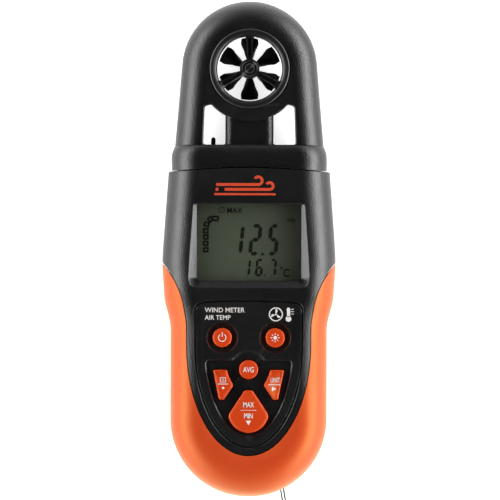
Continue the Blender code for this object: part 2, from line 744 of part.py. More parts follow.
def contacts():
    upper = CELL_TOP + CLEARANCE
    lower = BAY_BOTTOM + CLEARANCE
    contact("contact_positive", -CELL_PITCH, -CELL_PITCH, upper)
    contact("contact_bridge_upper", 0, CELL_PITCH, upper)
    contact("contact_bridge_lower", -CELL_PITCH, 0, lower)
    contact("contact_negative", CELL_PITCH, CELL_PITCH, lower)


# ---------------------------------------------------------------- display and board

def slab(name, half_x, y0, y1, base, top, finish, radius=0.0):
    return finished(name, prism(rectangle(half_x, y0, y1, radius, 2), base, top), finish)


def display():
    half_x, half_y = LENS_HALF
    slab("lcd_lens", half_x, DISPLAY_Y - half_y, DISPLAY_Y + half_y, PANEL_FACE + CLEARANCE,
         LENS_TOP, "clear_plastic", 1.2)
    slab("lcd_module", half_x - 0.2, DISPLAY_Y - half_y + 0.2, DISPLAY_Y + half_y - 0.2,
         LIGHT_FACE + CLEARANCE, PANEL_FACE, "display_glass")
    slab("backlight", half_x - 0.6, DISPLAY_Y - half_y + 0.6, DISPLAY_Y + half_y - 3.4,
         LIGHT_FACE - BACKLIGHT_THICKNESS, LIGHT_FACE, "white_plastic")
    slab("elastomer_connector", half_x - 2, DISPLAY_Y + half_y - 3.0, DISPLAY_Y + half_y - 0.8,
         BOARD_FACE + CLEARANCE, LIGHT_FACE, "grey_silicone")


def main_board():
    outline = rounded([(-BOARD_HALF + 4, HEEL_Y - 5), (BOARD_HALF - 4, HEEL_Y - 5), (BOARD_HALF, HEEL_Y + 14),
                       (BOARD_HALF, FLANGE_BASE - 1.5), (-BOARD_HALF, FLANGE_BASE - 1.5),
                       (-BOARD_HALF, HEEL_Y + 14)], (3, 3, 3, 1, 1, 3), 2)
    board = finished("main_board", prism(outline, BOARD_BACK, BOARD_FACE), "board_green")
    for x, y in CASE_SCREWS[:2]:
        cut(board, rod(BOSS + CLEARANCE, 0, 40, (x, y, 0), steps=12))
    for x, y in BOARD_SCREWS:
        cut(board, rod(SCREW_SHANK + CLEARANCE, 0, 40, (x, y, 0), steps=10))
    module = block(-6, 8, DISPLAY_Y - 7, DISPLAY_Y + 9, BOARD_BACK - 2.1, BOARD_BACK - CLEARANCE)
    finished("radio_module", module, "nickel")


def screw(name, x, y, seat, length):
    """A pan-head screw that points up, its head resting at the height seat."""
    profile = [(0, -SCREW_HEAD_HEIGHT), (SCREW_HEAD - 0.3, -SCREW_HEAD_HEIGHT), (SCREW_HEAD, 0),
               (SCREW_SHANK, 0), (SCREW_SHANK, length), (0, length)]
    shape = turned(profile, (x, y, seat), steps=8)
    return finished(name, shape, "steel")


def casing_screws():
    for i, (x, y) in enumerate(CASE_SCREWS):
        screw(f"case_screw_{i + 1}", x, y, CASE_SCREW_SEAT - CLEARANCE, PARTING)
    for i, (x, y) in enumerate(BOARD_SCREWS):
        screw(f"board_screw_{i + 1}", x, y, BOARD_BACK - CLEARANCE, 6)


# ---------------------------------------------------------------- keys

def keypad():
    sheet = prism(shield_outline(14.4, HEEL_Y - 6, PANEL_TOP - 2.4, 2.5), BOARD_FACE + CLEARANCE,
                  BOARD_FACE + CLEARANCE + MAT_THICKNESS)
    mat = finished("keypad_mat", sheet, "grey_silicone")
    for x, y in BOARD_SCREWS[2:]:
        cut(mat, rod(SMALL_BOSS + CLEARANCE, 0, 40, (x, y, 0), steps=12))
    for name, (outline, middle) in KEYS.items():
        x, y = middle
        cut(mat, rod(STEM_RADIUS + CLEARANCE, 0, 40, (x, y, 0), steps=8))
        top = DEPTH + KEY_PROUD
        flange_top = FRONT_INSIDE - CLEARANCE
        rings = [(0, flange_top - 0.2), (0, top - 0.35), (-0.35, top)]
        cap = lofted([[(px, py, z) for px, py in outline(inset)] for inset, z in rings])
        key = finished(name, cap, "orange_key", origin=(x, y, flange_top))
        join(key, prism(outline(KEY_FLANGE), flange_top - KEY_FLANGE, flange_top))
        stem_base = BOARD_FACE + CLEARANCE + KEY_TRAVEL
        join(key, rod(STEM_RADIUS, stem_base, flange_top - KEY_FLANGE + 0.3, (x, y, 0), steps=8))


# ---------------------------------------------------------------- swivel and head

def swivel():
    """The hollow spigot: a square flange held in the collar, a round one held in the casing."""
    key_base = SEAM_Y + KEY_RISE
    key_top = key_base + KEY_THICKNESS
    profile = [(SPIGOT_BORE, FLANGE_BASE), (SPIGOT_FLANGE, FLANGE_BASE), (SPIGOT_FLANGE, FLANGE_TOP),
               (SPIGOT_RADIUS, FLANGE_TOP), (SPIGOT_RADIUS, key_top), (SPIGOT_BORE, key_top)]
    axis = (0, 0, PARTING)
    spigot = finished("swivel_spigot", turned(profile, axis, "Y", 28), "white_plastic", origin=(0, SEAM_Y, PARTING))
    plate = finished("spigot_key", block(-KEY_HALF, KEY_HALF, key_base, key_top,
                                         PARTING - KEY_HALF, PARTING + KEY_HALF))
    cut(plate, rod(SPIGOT_BORE + 0.5, key_base - 5, key_top + 5, axis, "Y", 28))
    join(spigot, plate)
    lug = block(-LUG_WIDTH / 2, LUG_WIDTH / 2, FLANGE_BASE, FLANGE_TOP, PARTING + SPIGOT_FLANGE - 1,
                PARTING + LUG_REACH)
    join(spigot, lug)
    finished("swivel_washer", tube(SPIGOT_FLANGE, SPIGOT_RADIUS + CLEARANCE, FLANGE_TOP + CLEARANCE,
                                   WASHER_TOP, axis, "Y", 24), "steel")


def collar_section(shrink):
    """The collar across the swivel's axis: the casing's own section, smaller by shrink."""
    half = casing_half(SEAM_Y) - COLLAR_STEP - shrink
    top = DEPTH - COLLAR_STEP - shrink
    base = COLLAR_STEP + shrink
    points = []
    for edge, face, way in ((FRONT_EDGE, top, 1), (REAR_EDGE, base, -1)):
        reach = edge[0] - COLLAR_STEP
        depth = edge[1] - COLLAR_STEP
        corner = [(half - reach * (1 - math.cos(a)), face - way * depth * (1 - math.sin(a)))
                  for a in [math.pi / 2 * i / 5 for i in range(6)]]
        points.append(corner)
    right = list(reversed(points[1])) + points[0]
    return right + [(-x, z) for x, z in reversed(right)]


def collar_form():
    levels = [(SEAM_Y - 4, 0.1), (SEAM_Y, 0.1), (SEAM_Y + 2, 0.0), (SEAM_Y + 4.2, 0.15),
              (COLLAR_TOP - 1.4, 0.7), (COLLAR_TOP - 0.4, 1.3), (COLLAR_TOP, 2.2)]
    return lofted([[(x, y, z) for x, z in collar_section(shrink)] for y, shrink in levels])


def head_guide():
    guide = finished("head_guide", head_form())
    join(guide, collar_form())
    cut(guide, seam_dome(SEAM_Y + SEAM_GAP, above=False))
    for outline in (air_window(), flipped(air_window())):
        cut(guide, prism(outline, -20, 60))
    return guide


def head_hollow():
    """The hollow inside the head: round the duct, down the stalk and into both legs."""
    hollow = finished("head_hollow", head_form(HEAD_WALL))
    cut(hollow, block(-60, 60, SEAM_Y - 20, COLLAR_TOP + 1, -20, 60))
    cut(hollow, rod(DUCT_RADIUS + CLEARANCE + 1.7, -20, 60, (0, VANE_Y, 0), steps=32))
    for outline in (air_window(1.4), flipped(air_window(1.4))):
        cut(hollow, prism(outline, -20, 60))
    leave_bosses(hollow, CROWN_SCREWS, BOSS)
    return hollow


def head_shell(name, guide, hollow, front):
    shell = finished(name, half_space(front), "black_plastic", origin=(0, SEAM_Y, PARTING))
    keep_inside(shell, guide)
    cut(shell, hollow)
    seat = HEAD_DEPTH / 2 + RIM_PROUD - RIM_THICKNESS - CLEARANCE
    bore = [(0, -40), (RIM_RADIUS + CLEARANCE, -40), (RIM_RADIUS + CLEARANCE, -seat),
            (DUCT_RADIUS + CLEARANCE, -seat), (DUCT_RADIUS + CLEARANCE, seat),
            (RIM_RADIUS + CLEARANCE, seat), (RIM_RADIUS + CLEARANCE, 40), (0, 40)]
    cut(shell, turned(bore, (0, VANE_Y, PARTING), steps=28))

    key_base = SEAM_Y + KEY_RISE
    cut(shell, rod(SPIGOT_RADIUS + CLEARANCE, SEAM_Y - 5, key_base + 1, (0, 0, PARTING), "Y", 28))
    side = KEY_HALF + CLEARANCE
    cut(shell, block(-side, side, key_base - CLEARANCE, key_base + KEY_THICKNESS + CLEARANCE,
                     PARTING - side, PARTING + side))
    cut(shell, block(-2.5, 2.5, key_base, COLLAR_TOP + 3, PARTING - 2.5, PARTING + 2.5))
    cut(shell, rod(PROBE_RADIUS + CLEARANCE, COLLAR_TOP - PROBE_ROOT, COLLAR_TOP + 5,
                   (PROBE_X, 0, PARTING), "Y", 12))
    for x, y in HEAD_SCREWS:
        cut(shell, stepped_bore(SCREW_HEAD + CLEARANCE, SCREW_SHANK + CLEARANCE, HEAD_SCREW_SEAT, (x, y, 0)))
    return shell


def head_small_parts():
    probe = turned([(0, -PROBE_ROOT + CLEARANCE), (PROBE_RADIUS, -PROBE_ROOT + CLEARANCE),
                    (PROBE_RADIUS, PROBE_TIP - 0.4), (PROBE_RADIUS - 0.4, PROBE_TIP), (0, PROBE_TIP)],
                   (PROBE_X, COLLAR_TOP, PARTING), "Y", 12)
    finished("temperature_probe", probe, "black_plastic")
    for i, (x, y) in enumerate(HEAD_SCREWS):
        screw(f"head_screw_{i + 1}", x, y, HEAD_SCREW_SEAT - CLEARANCE, PARTING - 4)
    board = block(-4.8, 4.8, COLLAR_TOP + 4, VANE_Y - DUCT_RADIUS - 2.6, PARTING - 4.4, PARTING - 3.2)
    finished("sensor_board", board, "board_green")
    lead = [(0, FLANGE_BASE - 1), (1.1, FLANGE_BASE - 1), (1.1, COLLAR_TOP + 2.6), (0, COLLAR_TOP + 2.6)]
    finished("sensor_lead", turned(lead, (0, 0, PARTING), "Y", 10), "grey_silicone")


def vane_frame(name, front):
    """One duct half with its rim, three arms and the boss that holds a bearing."""
    way = 1 if front else -1
    rim_top = RIM_TOP - PARTING
    rim_base = rim_top - RIM_THICKNESS
    near = CLEARANCE / 2
    profile = [(DUCT_BORE, near), (DUCT_RADIUS, near), (DUCT_RADIUS, rim_base), (RIM_RADIUS, rim_base),
               (RIM_RADIUS, rim_top), (DUCT_BORE + 0.5, rim_top), (DUCT_BORE, rim_top - 0.5)]
    centre = (0, VANE_Y, PARTING)
    frame = finished(name, turned([(r, h * way) for r, h in profile], centre, steps=28), "black_plastic",
                     origin=(0, SEAM_Y, PARTING))
    top = (ARM_TOP - PARTING) * way
    base = top - ARM_DEPTH * way
    boss_base = top - (BEARING_DEPTH + 1.4) * way
    for i in range(3):
        angle = math.radians(90 + 120 * i)
        low, high = sorted((base, top))
        arm = block(BEARING_BOSS - 1, DUCT_BORE + 0.5, -ARM_WIDTH / 2, ARM_WIDTH / 2, low, high)
        place = Matrix.Translation(centre) @ Matrix.Rotation(angle, 4, "Z")
        bmesh.ops.transform(arm, matrix=place, verts=arm.verts)
        join(frame, arm)
    join(frame, turned([(0, boss_base), (BEARING_BOSS - 0.4, boss_base), (BEARING_BOSS, base),
                        (BEARING_BOSS, top), (0, top)], centre, steps=16))
    inner = top - 0.6 * way
    low, high = sorted((boss_base - way, inner))
    cut(frame, rod(BEARING_RADIUS + CLEARANCE, low, high, centre, steps=12))
    bearing = [(AXIS_GAP, inner - CLEARANCE * way), (BEARING_RADIUS, inner - CLEARANCE * way),
               (BEARING_RADIUS, inner - (CLEARANCE + BEARING_DEPTH) * way),
               (AXIS_GAP, inner - (CLEARANCE + BEARING_DEPTH) * way)]
    finished(name.replace("vane_frame", "bearing"), turned(bearing, centre, steps=12), "steel",
             origin=(0, SEAM_Y, PARTING))
    return frame


def impeller():
    centre = Vector((0, VANE_Y, PARTING))
    half = HUB_LENGTH / 2
    hub = [(AXIS_GAP, -half), (HUB_RADIUS - 0.5, -half), (HUB_RADIUS, -half + 0.8), (HUB_RADIUS, half - 0.8),
           (HUB_RADIUS - 0.5, half), (MAGNET_RADIUS + CLEARANCE, half), (MAGNET_RADIUS + CLEARANCE, half - 2),
           (AXIS_GAP, half - 2)]
    rotor = finished("impeller", turned(hub, centre, steps=18), "black_plastic", origin=tuple(centre))
    tip = DUCT_BORE - BLADE_TIP_GAP
    for i in range(BLADE_COUNT):
        rings = []
        for share, width, pitch in BLADE_STATIONS:
            a = math.radians(pitch)
            along = Vector((0, math.cos(a), math.sin(a))) * width / 2
            across = Vector((0, -math.sin(a), math.cos(a))) * BLADE_THICKNESS / 2
            middle = Vector((tip * share, 0, 0))
            if share == 1.0:
                middle.x = math.sqrt(tip ** 2 - (width / 2 * math.cos(a)) ** 2)
            rings.append([tuple(middle + u * along + v * across)
                          for u, v in ((-1, -0.4), (0, -1), (1, -0.4), (1, 0.4), (0, 1), (-1, 0.4))])
        blade = lofted(rings)
        turn = Matrix.Rotation(math.radians(90 + 360 * i / BLADE_COUNT), 4, "Z")
        bmesh.ops.transform(blade, matrix=Matrix.Translation(centre) @ turn, verts=blade.verts)
        join(rotor, blade)
    reach = ARM_TOP - PARTING - 0.6 - 3 * CLEARANCE
    finished("impeller_shaft", rod(SHAFT_RADIUS, -reach, reach, centre, steps=12), "steel", origin=tuple(centre))
    magnet = tube(MAGNET_RADIUS, AXIS_GAP, half - 2 + CLEARANCE, half - CLEARANCE, centre, steps=12)
    finished("rotor_magnet", magnet, "magnet", origin=tuple(centre))


# ---------------------------------------------------------------- wrist strap

# The thread's way from the post to the ferrule's bar, from the foot of the casing's heel: it comes out
# through the grip's opening, sinks to the table and climbs to the bar
THREAD_OUT = ((-0.9, 7.4, 4.6), (-0.75, 5.0, 4.0), (-0.4, 2.5, 3.0), (0.2, -1.2, 1.9), (1.3, -8.0, 1.3),
              (2.9, -16.0, 1.4), (4.2, -23.0, 2.3), (4.6, -28.0, 2.9))
# Round the bar, from its middle, and the way back, on the table
THREAD_TURN = ((0.05, 0.0, 1.2), (0.2, -1.1, 0.4), (0.3, -1.15, -0.4), (0.45, 0.0, -1.2))
THREAD_BACK = ((5.2, -28.0, 0.6), (4.9, -23.0, 0.4), (3.8, -16.0, 0.4), (2.3, -8.0, 0.5), (1.2, -1.2, 1.2),
               (0.6, 2.5, 2.4), (0.45, 5.0, 3.7), (0.4, 7.4, 4.6))


def smooth_route(points, spacing):
    """Points evenly along a Catmull-Rom curve through the route's own points."""
    padded = [2 * points[0] - points[1]] + points + [2 * points[-1] - points[-2]]
    dense = []
    for a, b, c, d in zip(padded, padded[1:], padded[2:], padded[3:]):
        for k in range(20):
            t = k / 20
            dense.append(0.5 * (2 * b + (c - a) * t + (2 * a - 5 * b + 4 * c - d) * t ** 2
                                + (3 * b - a - 3 * c + d) * t ** 3))
    dense.append(points[-1])
    lengths = [0.0]
    for p, q in zip(dense, dense[1:]):
        lengths.append(lengths[-1] + (q - p).length)
    count = max(2, round(lengths[-1] / spacing))
    even = []
    k = 0
    for i in range(count + 1):
        goal = lengths[-1] * i / count
        while k < len(dense) - 2 and lengths[k + 1] < goal:
            k += 1
        share = (goal - lengths[k]) / (lengths[k + 1] - lengths[k])
        even.append(dense[k].lerp(dense[k + 1], min(1.0, share)))
    return even


def strap_thread():
    heel = Vector((STRAP_X, BOTTOM, 0))
    bar = Vector((FERRULE_X, FERRULE_Y - BAR / 2, FERRULE_HEIGHT / 2))
    places = [heel + Vector(p) for p in THREAD_OUT] + [bar + Vector(p) for p in THREAD_TURN]
    places += [heel + Vector(p) for p in THREAD_BACK]
    route = smooth_route(places, 3 * THREAD_DIAMETER)
    curve = bpy.data.curves.new("strap_thread", "CURVE")
    curve.dimensions = "3D"
    curve.bevel_depth = THREAD_DIAMETER / 2 * MM
    curve.bevel_resolution = 2
    curve.use_fill_caps = True
    spline = curve.splines.new("POLY")
    spline.points.add(len(route) - 1)
    for point, place in zip(spline.points, route):
        point.co = (*(place * MM), 1)
    curve.materials.append(material("cord_black"))
    thread = bpy.data.objects.new("strap_thread", curve)
    bpy.context.scene.collection.objects.link(thread)


def strap_ferrule():
    """The crimp between thread and strap: the thread goes round a bar at its near end."""
    half = FERRULE_WIDTH / 2
    outline = rounded([(FERRULE_X - half, FERRULE_Y - FERRULE_LENGTH), (FERRULE_X + half, FERRULE_Y - FERRULE_LENGTH),
                       (FERRULE_X + half, FERRULE_Y), (FERRULE_X - half, FERRULE_Y)], 1.2, 3)
    ferrule = finished("strap_ferrule", prism(outline, 0, FERRULE_HEIGHT), "nickel")
    left, right = FERRULE_X - EYE / 2, FERRULE_X + EYE / 2
    inner = FERRULE_Y - BAR
    middle = FERRULE_HEIGHT / 2
    cut(ferrule, block(left, right, inner - EYE, inner, -5, 10))
    cut(ferrule, block(left, right, inner - 1, FERRULE_Y + 5, middle + BAR / 2, 10))
    cut(ferrule, block(left, right, inner - 1, FERRULE_Y + 5, -5, middle - BAR / 2))


def wrist_strap():
    """The strap's two ends, from the ferrule to the coil, and the coil itself with the tie round it."""
    outer = COIL_INNER + 2 * STRAP_DIAMETER
    reach = outer + CLEARANCE
    side = FERRULE_WIDTH / 2
    x = FERRULE_X - outer + STRAP_DIAMETER
    back = FERRULE_Y - FERRULE_LENGTH
    y = back - CLEARANCE - math.sqrt(reach ** 2 - (FERRULE_X - side - x) ** 2)
    base = TIE_THICKNESS + CLEARANCE
    height = 1.9 * STRAP_DIAMETER
    middle = (COIL_INNER + outer) / 2
    half = outer - middle
    section = [(middle + half * math.sin(a), base + height / 2 - height / 2 * math.cos(a))
               for a in [2 * math.pi * (i + 0.5) / 8 for i in range(8)]]
    section = [(max(COIL_INNER, min(outer, middle + (r - middle) * 1.08)),
                max(base, min(base + height, base + height / 2 + (z - base - height / 2) * 1.08)))
               for r, z in section]
    finished("wrist_strap", turned(section, (x, y, 0), steps=24), "cord_black")

    lead = finished("strap_lead", block(FERRULE_X - STRAP_DIAMETER, FERRULE_X + STRAP_DIAMETER, y,
                                        back - CLEARANCE, 0.2, 0.2 + STRAP_DIAMETER), "cord_black")
    cut(lead, rod(reach, -5, 20, (x, y, 0), steps=32))

    room = CLEARANCE + TIE_WIDTH ** 2 / 8 / COIL_INNER
    inner_x, outer_x = x - COIL_INNER + room, x - outer - room
    top = base + height + CLEARANCE
    tie = finished("strap_tie", block(outer_x - TIE_THICKNESS, inner_x + TIE_THICKNESS, y - TIE_WIDTH / 2,
                                      y + TIE_WIDTH / 2, 0, top + TIE_THICKNESS), "cord_black")
    cut(tie, block(outer_x, inner_x, y - TIE_WIDTH, y + TIE_WIDTH, TIE_THICKNESS, top))


def main():
    for old in list(bpy.data.objects):
        bpy.data.objects.remove(old)
    front_shell()
    rear_shell()
    grip("front_grip", True)
    grip("rear_grip", False)
    finished("side_cover", side_cover_seat(), "black_plastic")
    battery_cover()
    batteries()
    contacts()
    display()
    main_board()
    casing_screws()
    keypad()
    swivel()
    guide = head_guide()
    hollow = head_hollow()
    head_shell("head_front", guide, hollow, True)
    head_shell("head_rear", guide, hollow, False)
    head_small_parts()
    vane_frame("vane_frame_front", True)
    vane_frame("vane_frame_rear", False)
    impeller()
    strap_thread()
    strap_ferrule()
    wrist_strap()


main()
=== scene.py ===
# %% [markdown]
# # A handheld weather meter
# This notebook dresses a pocket wind and temperature meter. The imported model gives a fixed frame: every
# node is where it has to be, and every body moves on its joint. The lesson builds the fine surfaces round
# that frame, one piece at a time, in millimetres, and turns them into metres when a mesh is made.

import math

import bmesh
import bpy
from mathutils import Matrix, Vector


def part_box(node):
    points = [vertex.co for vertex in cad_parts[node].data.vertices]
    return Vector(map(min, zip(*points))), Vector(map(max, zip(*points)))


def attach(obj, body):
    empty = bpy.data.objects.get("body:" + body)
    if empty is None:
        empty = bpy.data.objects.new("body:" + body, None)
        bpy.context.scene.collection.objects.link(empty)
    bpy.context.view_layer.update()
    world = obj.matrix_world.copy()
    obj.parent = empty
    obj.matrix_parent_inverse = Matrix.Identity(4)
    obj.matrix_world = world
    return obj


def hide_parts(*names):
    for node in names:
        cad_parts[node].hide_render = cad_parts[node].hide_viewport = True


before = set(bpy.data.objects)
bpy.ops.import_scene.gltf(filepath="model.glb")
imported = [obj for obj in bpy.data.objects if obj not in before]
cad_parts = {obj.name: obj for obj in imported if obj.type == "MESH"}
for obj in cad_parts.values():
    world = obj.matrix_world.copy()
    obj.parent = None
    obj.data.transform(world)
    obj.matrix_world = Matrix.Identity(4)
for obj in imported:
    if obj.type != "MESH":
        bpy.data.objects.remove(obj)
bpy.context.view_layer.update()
MM = 0.001

# %% [markdown]
# ## Where things are
# The places are read from the frame's own nodes, so the fine pieces sit on the coarse ones. Only the sizes
# that shape a surface, such as how far an edge is rounded, are written here as values of their own.

# %% Places and sizes
def box(node):
    low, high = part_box(node)
    return low / MM, high / MM


def centre(node):
    low, high = box(node)
    return (low + high) / 2


CLEARANCE = 0.3
DEPTH = box("front_shell")[1].z
PARTING = DEPTH / 2
SEAM_Y = box("front_shell")[1].y
BOTTOM = box("front_grip")[0].y
HIP_HALF = box("front_grip")[1].x
WAIST_HALF = 26.0
TAPER = 0.073
HIP_Y = SEAM_Y - 31.85
SHOULDER_Y = HIP_Y - 11.7
WAIST_Y = HIP_Y - 22.7
HEEL_Y = BOTTOM + WAIST_HALF
FRONT_EDGE, REAR_EDGE, HEAD_EDGE = (10.0, 12.0), (7.0, 11.0), (8.0, 9.5)
VANE = centre("impeller_shaft")
HEAD_TOP = box("head_front")[1].y
HEAD_RADIUS = HEAD_TOP - VANE.y
HEAD_DEPTH = 21.0
HEAD_FACE = PARTING + HEAD_DEPTH / 2
COLLAR_TOP = box("temperature_probe")[1].y - 2.5
LEG_HALF = 24.7
COLLAR_STEP = 0.8
STALK_HALF = 8.0
WINDOW_OUTER = 15.4
RING_OUTER = VANE.y - COLLAR_TOP - 7.8
DISPLAY_Y = centre("lcd_lens").y
WINDOW = (34.4, 25.6)
KEYPAD_Y = centre("key_average").y
PANEL_TOP = DISPLAY_Y - 20.2
PANEL_MIDDLE = HEEL_Y + 24.5
FRONT_FACE = (20.8, 12.4, 24.5)
REAR_FACE = (20.4, 16.5, 6.0)
FRONT_INSIDE = box("lcd_lens")[1].z + CLEARANCE
BOARD_FACE = box("main_board")[1].z
print(f"vane at y {VANE.y:.1f}, seam at {SEAM_Y:.1f}, display at {DISPLAY_Y:.1f}, keys at {KEYPAD_Y:.1f}")

# %% [markdown]
# ## Camera, light and floor
# The meter lies on its back and is seen from straight above, through a very long lens so that its far and
# near edges keep the same scale. The light is a bright band low down on the left and right, as from two
# soft boxes, and dark overhead: flat black plastic then stays black while every rounded edge picks up a
# soft band. The band is in the world's background, which lights evenly and casts no hard shadow.

# %% Camera
VIEW_WIDTH = 166.67
LENS = 1000.0
camera_data = bpy.data.cameras.new("camera")
camera_data.lens = LENS
camera_data.sensor_width = 36.0
camera_data.clip_end = 50
camera = bpy.data.objects.new("camera", camera_data)
bpy.context.scene.collection.objects.link(camera)
distance = VIEW_WIDTH * LENS / camera_data.sensor_width
camera.location = (0.33 * MM, -0.35 * MM, (distance + PARTING) * MM)
camera.rotation_euler = (0, 0, math.radians(0.2))
bpy.context.scene.camera = camera
print(f"camera {distance * MM:.2f} m above the meter")

# %% [markdown]
# Gloss shows the light as much as the colour, so the light is built with care. Lamps or glowing cards
# would work, but each leaves its own outline in the plastic. A background whose strength depends only on
# direction is softer: bright low down at the sides, a little brighter on the right, and nearly dark
# overhead.

# %% World light
world = bpy.data.worlds.new("studio")
bpy.context.scene.world = world
world.use_nodes = True
sky = world.node_tree
sky.nodes.clear()


def sky_node(kind, **values):
    node = sky.nodes.new(kind)
    for name, value in values.items():
        if name in node.inputs:
            node.inputs[name].default_value = value
        else:
            setattr(node, name, value)
    return node


def sky_maths(operation, a, b):
    node = sky_node("ShaderNodeMath", operation=operation)
    for socket, value in zip(node.inputs, (a, b)):
        if isinstance(value, (int, float)):
            socket.default_value = value
        else:
            sky.links.new(value, socket)
    return node.outputs[0]


def sky_ramp(value, low, high):
    node = sky_node("ShaderNodeMapRange", interpolation_type="SMOOTHERSTEP")
    sky.links.new(value, node.inputs["Value"])
    node.inputs["From Min"].default_value = low
    node.inputs["From Max"].default_value = high
    return node.outputs["Result"]


direction = sky_node("ShaderNodeSeparateXYZ")
sky.links.new(sky_node("ShaderNodeTexCoord").outputs["Generated"], direction.inputs[0])
height = direction.outputs["Z"]
low_band = sky_maths("SUBTRACT", 1.0, sky_ramp(height, 0.28, 0.78))
sideways = sky_ramp(sky_maths("ABSOLUTE", direction.outputs["X"], 0), 0.4, 0.95)
right_more = sky_maths("MULTIPLY_ADD", direction.outputs["X"], 1.3)
sky.nodes[-1].inputs[2].default_value = 11.0
side_light = sky_maths("MULTIPLY", sideways, right_more)
band = sky_maths("MULTIPLY", low_band, sky_maths("ADD", side_light, 0.8))
strength = sky_maths("ADD", band, 0.03)
background = sky_node("ShaderNodeBackground")
sky.links.new(strength, background.inputs["Strength"])
sky.links.new(background.outputs[0], sky_node("ShaderNodeOutputWorld").inputs[0])
bpy.context.scene.view_settings.view_transform = "Standard"
print("world light ready")

# %% [markdown]
# The meter needs something pale to lie on. A plain sheet would look grey under such a low light, so the
# sheet also glows faintly and stays close to white.

# %% Floor
FLOOR_HALF = 4.0
floor_shape = bmesh.new()
bmesh.ops.create_grid(floor_shape, x_segments=8, y_segments=8, size=FLOOR_HALF)
floor_mesh = bpy.data.meshes.new("floor")
floor_shape.to_mesh(floor_mesh)
floor_shape.free()
floor = bpy.data.objects.new("floor", floor_mesh)
floor.location.z = -0.0002
bpy.context.scene.collection.objects.link(floor)
floor_paint = bpy.data.materials.new("floor_paint")
floor_paint.use_nodes = True
paint = floor_paint.node_tree.nodes["Principled BSDF"].inputs
paint["Base Color"].default_value = (0.93, 0.93, 0.93, 1)
paint["Roughness"].default_value = 0.9
paint["Specular IOR Level"].default_value = 0.1
paint["Emission Color"].default_value = (1, 1, 1, 1)
paint["Emission Strength"].default_value = 0.55
floor_mesh.materials.append(floor_paint)
print("floor ready")

# %% [markdown]
# ## Effects shared by the finishes
# Moulded plastic is never one flat tone. Four effects are built once as node groups: the fine grain that
# spark erosion leaves in a mould, the pale rub along edges, which is partly a painted highlight on sharp
# rims, the patches that hands leave in the gloss, and a trace of dust on what faces up. Each puts out a
# value that changes over the surface, and each finish sets how much of it there is.

# %% Node groups
def node_group(name, inputs, outputs):
    """An empty shader group with float inputs and their defaults, and named outputs."""
    tree = bpy.data.node_groups.new(name, "ShaderNodeTree")
    for label, value in inputs.items():
        tree.interface.new_socket(label, in_out="INPUT", socket_type="NodeSocketFloat").default_value = value
    for label in outputs:
        tree.interface.new_socket(label, in_out="OUTPUT", socket_type="NodeSocketFloat")
    return tree, tree.nodes.new("NodeGroupInput"), tree.nodes.new("NodeGroupOutput")


def add(tree, kind, links=None, **values):
    """One node, with values for its sockets or settings, and links into its sockets."""
    node = tree.nodes.new(kind)
    for name, value in values.items():
        socket = name.replace("_", " ").title() if name.islower() else name
        if hasattr(node, name):
            setattr(node, name, value)
        else:
            node.inputs[socket].default_value = value
    for name, source in (links or {}).items():
        tree.links.new(source, node.inputs[name])
    return node


def maths(tree, operation, *terms):
    """A Math node's output; each term is a number or a socket."""
    node = tree.nodes.new("ShaderNodeMath")
    node.operation = operation
    for socket, term in zip(node.inputs, terms):
        if isinstance(term, (int, float)):
            socket.default_value = term
        else:
            tree.links.new(term, socket)
    return node.outputs[0]


grain, grain_in, grain_out = node_group("moulded_grain", {"Scale": 3000.0, "Coarse": 0.3}, ["Height"])
place = grain.nodes.new("ShaderNodeTexCoord").outputs["Object"]
fine = add(grain, "ShaderNodeTexNoise", {"Vector": place, "Scale": grain_in.outputs["Scale"]}, detail=2.0)
wide_scale = maths(grain, "MULTIPLY", grain_in.outputs["Scale"], 0.3)
wide = add(grain, "ShaderNodeTexVoronoi", {"Vector": place, "Scale": wide_scale})
pits = maths(grain, "MULTIPLY", wide.outputs["Distance"], grain_in.outputs["Coarse"])
grain.links.new(maths(grain, "ADD", fine.outputs["Fac"], pits), grain_out.inputs["Height"])

# Pale edges from pointiness: wear on most finishes, a painted highlight where a finish turns it up.
rub_and_highlight, rub_and_highlight_in, rub_and_highlight_out = node_group("edge_rub_and_highlight", {"Amount": 0.5, "From": 0.52, "To": 0.62}, ["Mask"])
place = rub_and_highlight.nodes.new("ShaderNodeTexCoord").outputs["Object"]
sharpness = rub_and_highlight.nodes.new("ShaderNodeNewGeometry").outputs["Pointiness"]
ramp = add(rub_and_highlight, "ShaderNodeMapRange", {"Value": sharpness, "From Min": rub_and_highlight_in.outputs["From"],
                                       "From Max": rub_and_highlight_in.outputs["To"]})
patches = add(rub_and_highlight, "ShaderNodeTexNoise", {"Vector": place}, scale=420.0, detail=4.0)
broken = maths(rub_and_highlight, "MULTIPLY", ramp.outputs["Result"], patches.outputs["Fac"])
rub_and_highlight.links.new(maths(rub_and_highlight, "MULTIPLY", broken, rub_and_highlight_in.outputs["Amount"]), rub_and_highlight_out.inputs["Mask"])

hands, hands_in, hands_out = node_group("handling", {"Low": 0.4, "High": 0.5, "Scale": 60.0}, ["Roughness"])
place = hands.nodes.new("ShaderNodeTexCoord").outputs["Object"]
smudge = add(hands, "ShaderNodeTexNoise", {"Vector": place, "Scale": hands_in.outputs["Scale"]},
             detail=5.0, roughness=0.6)
spread = add(hands, "ShaderNodeMapRange", {"Value": smudge.outputs["Fac"], "To Min": hands_in.outputs["Low"],
                                           "To Max": hands_in.outputs["High"]})
spread.inputs["From Min"].default_value = 0.35
spread.inputs["From Max"].default_value = 0.65
hands.links.new(spread.outputs["Result"], hands_out.inputs["Roughness"])

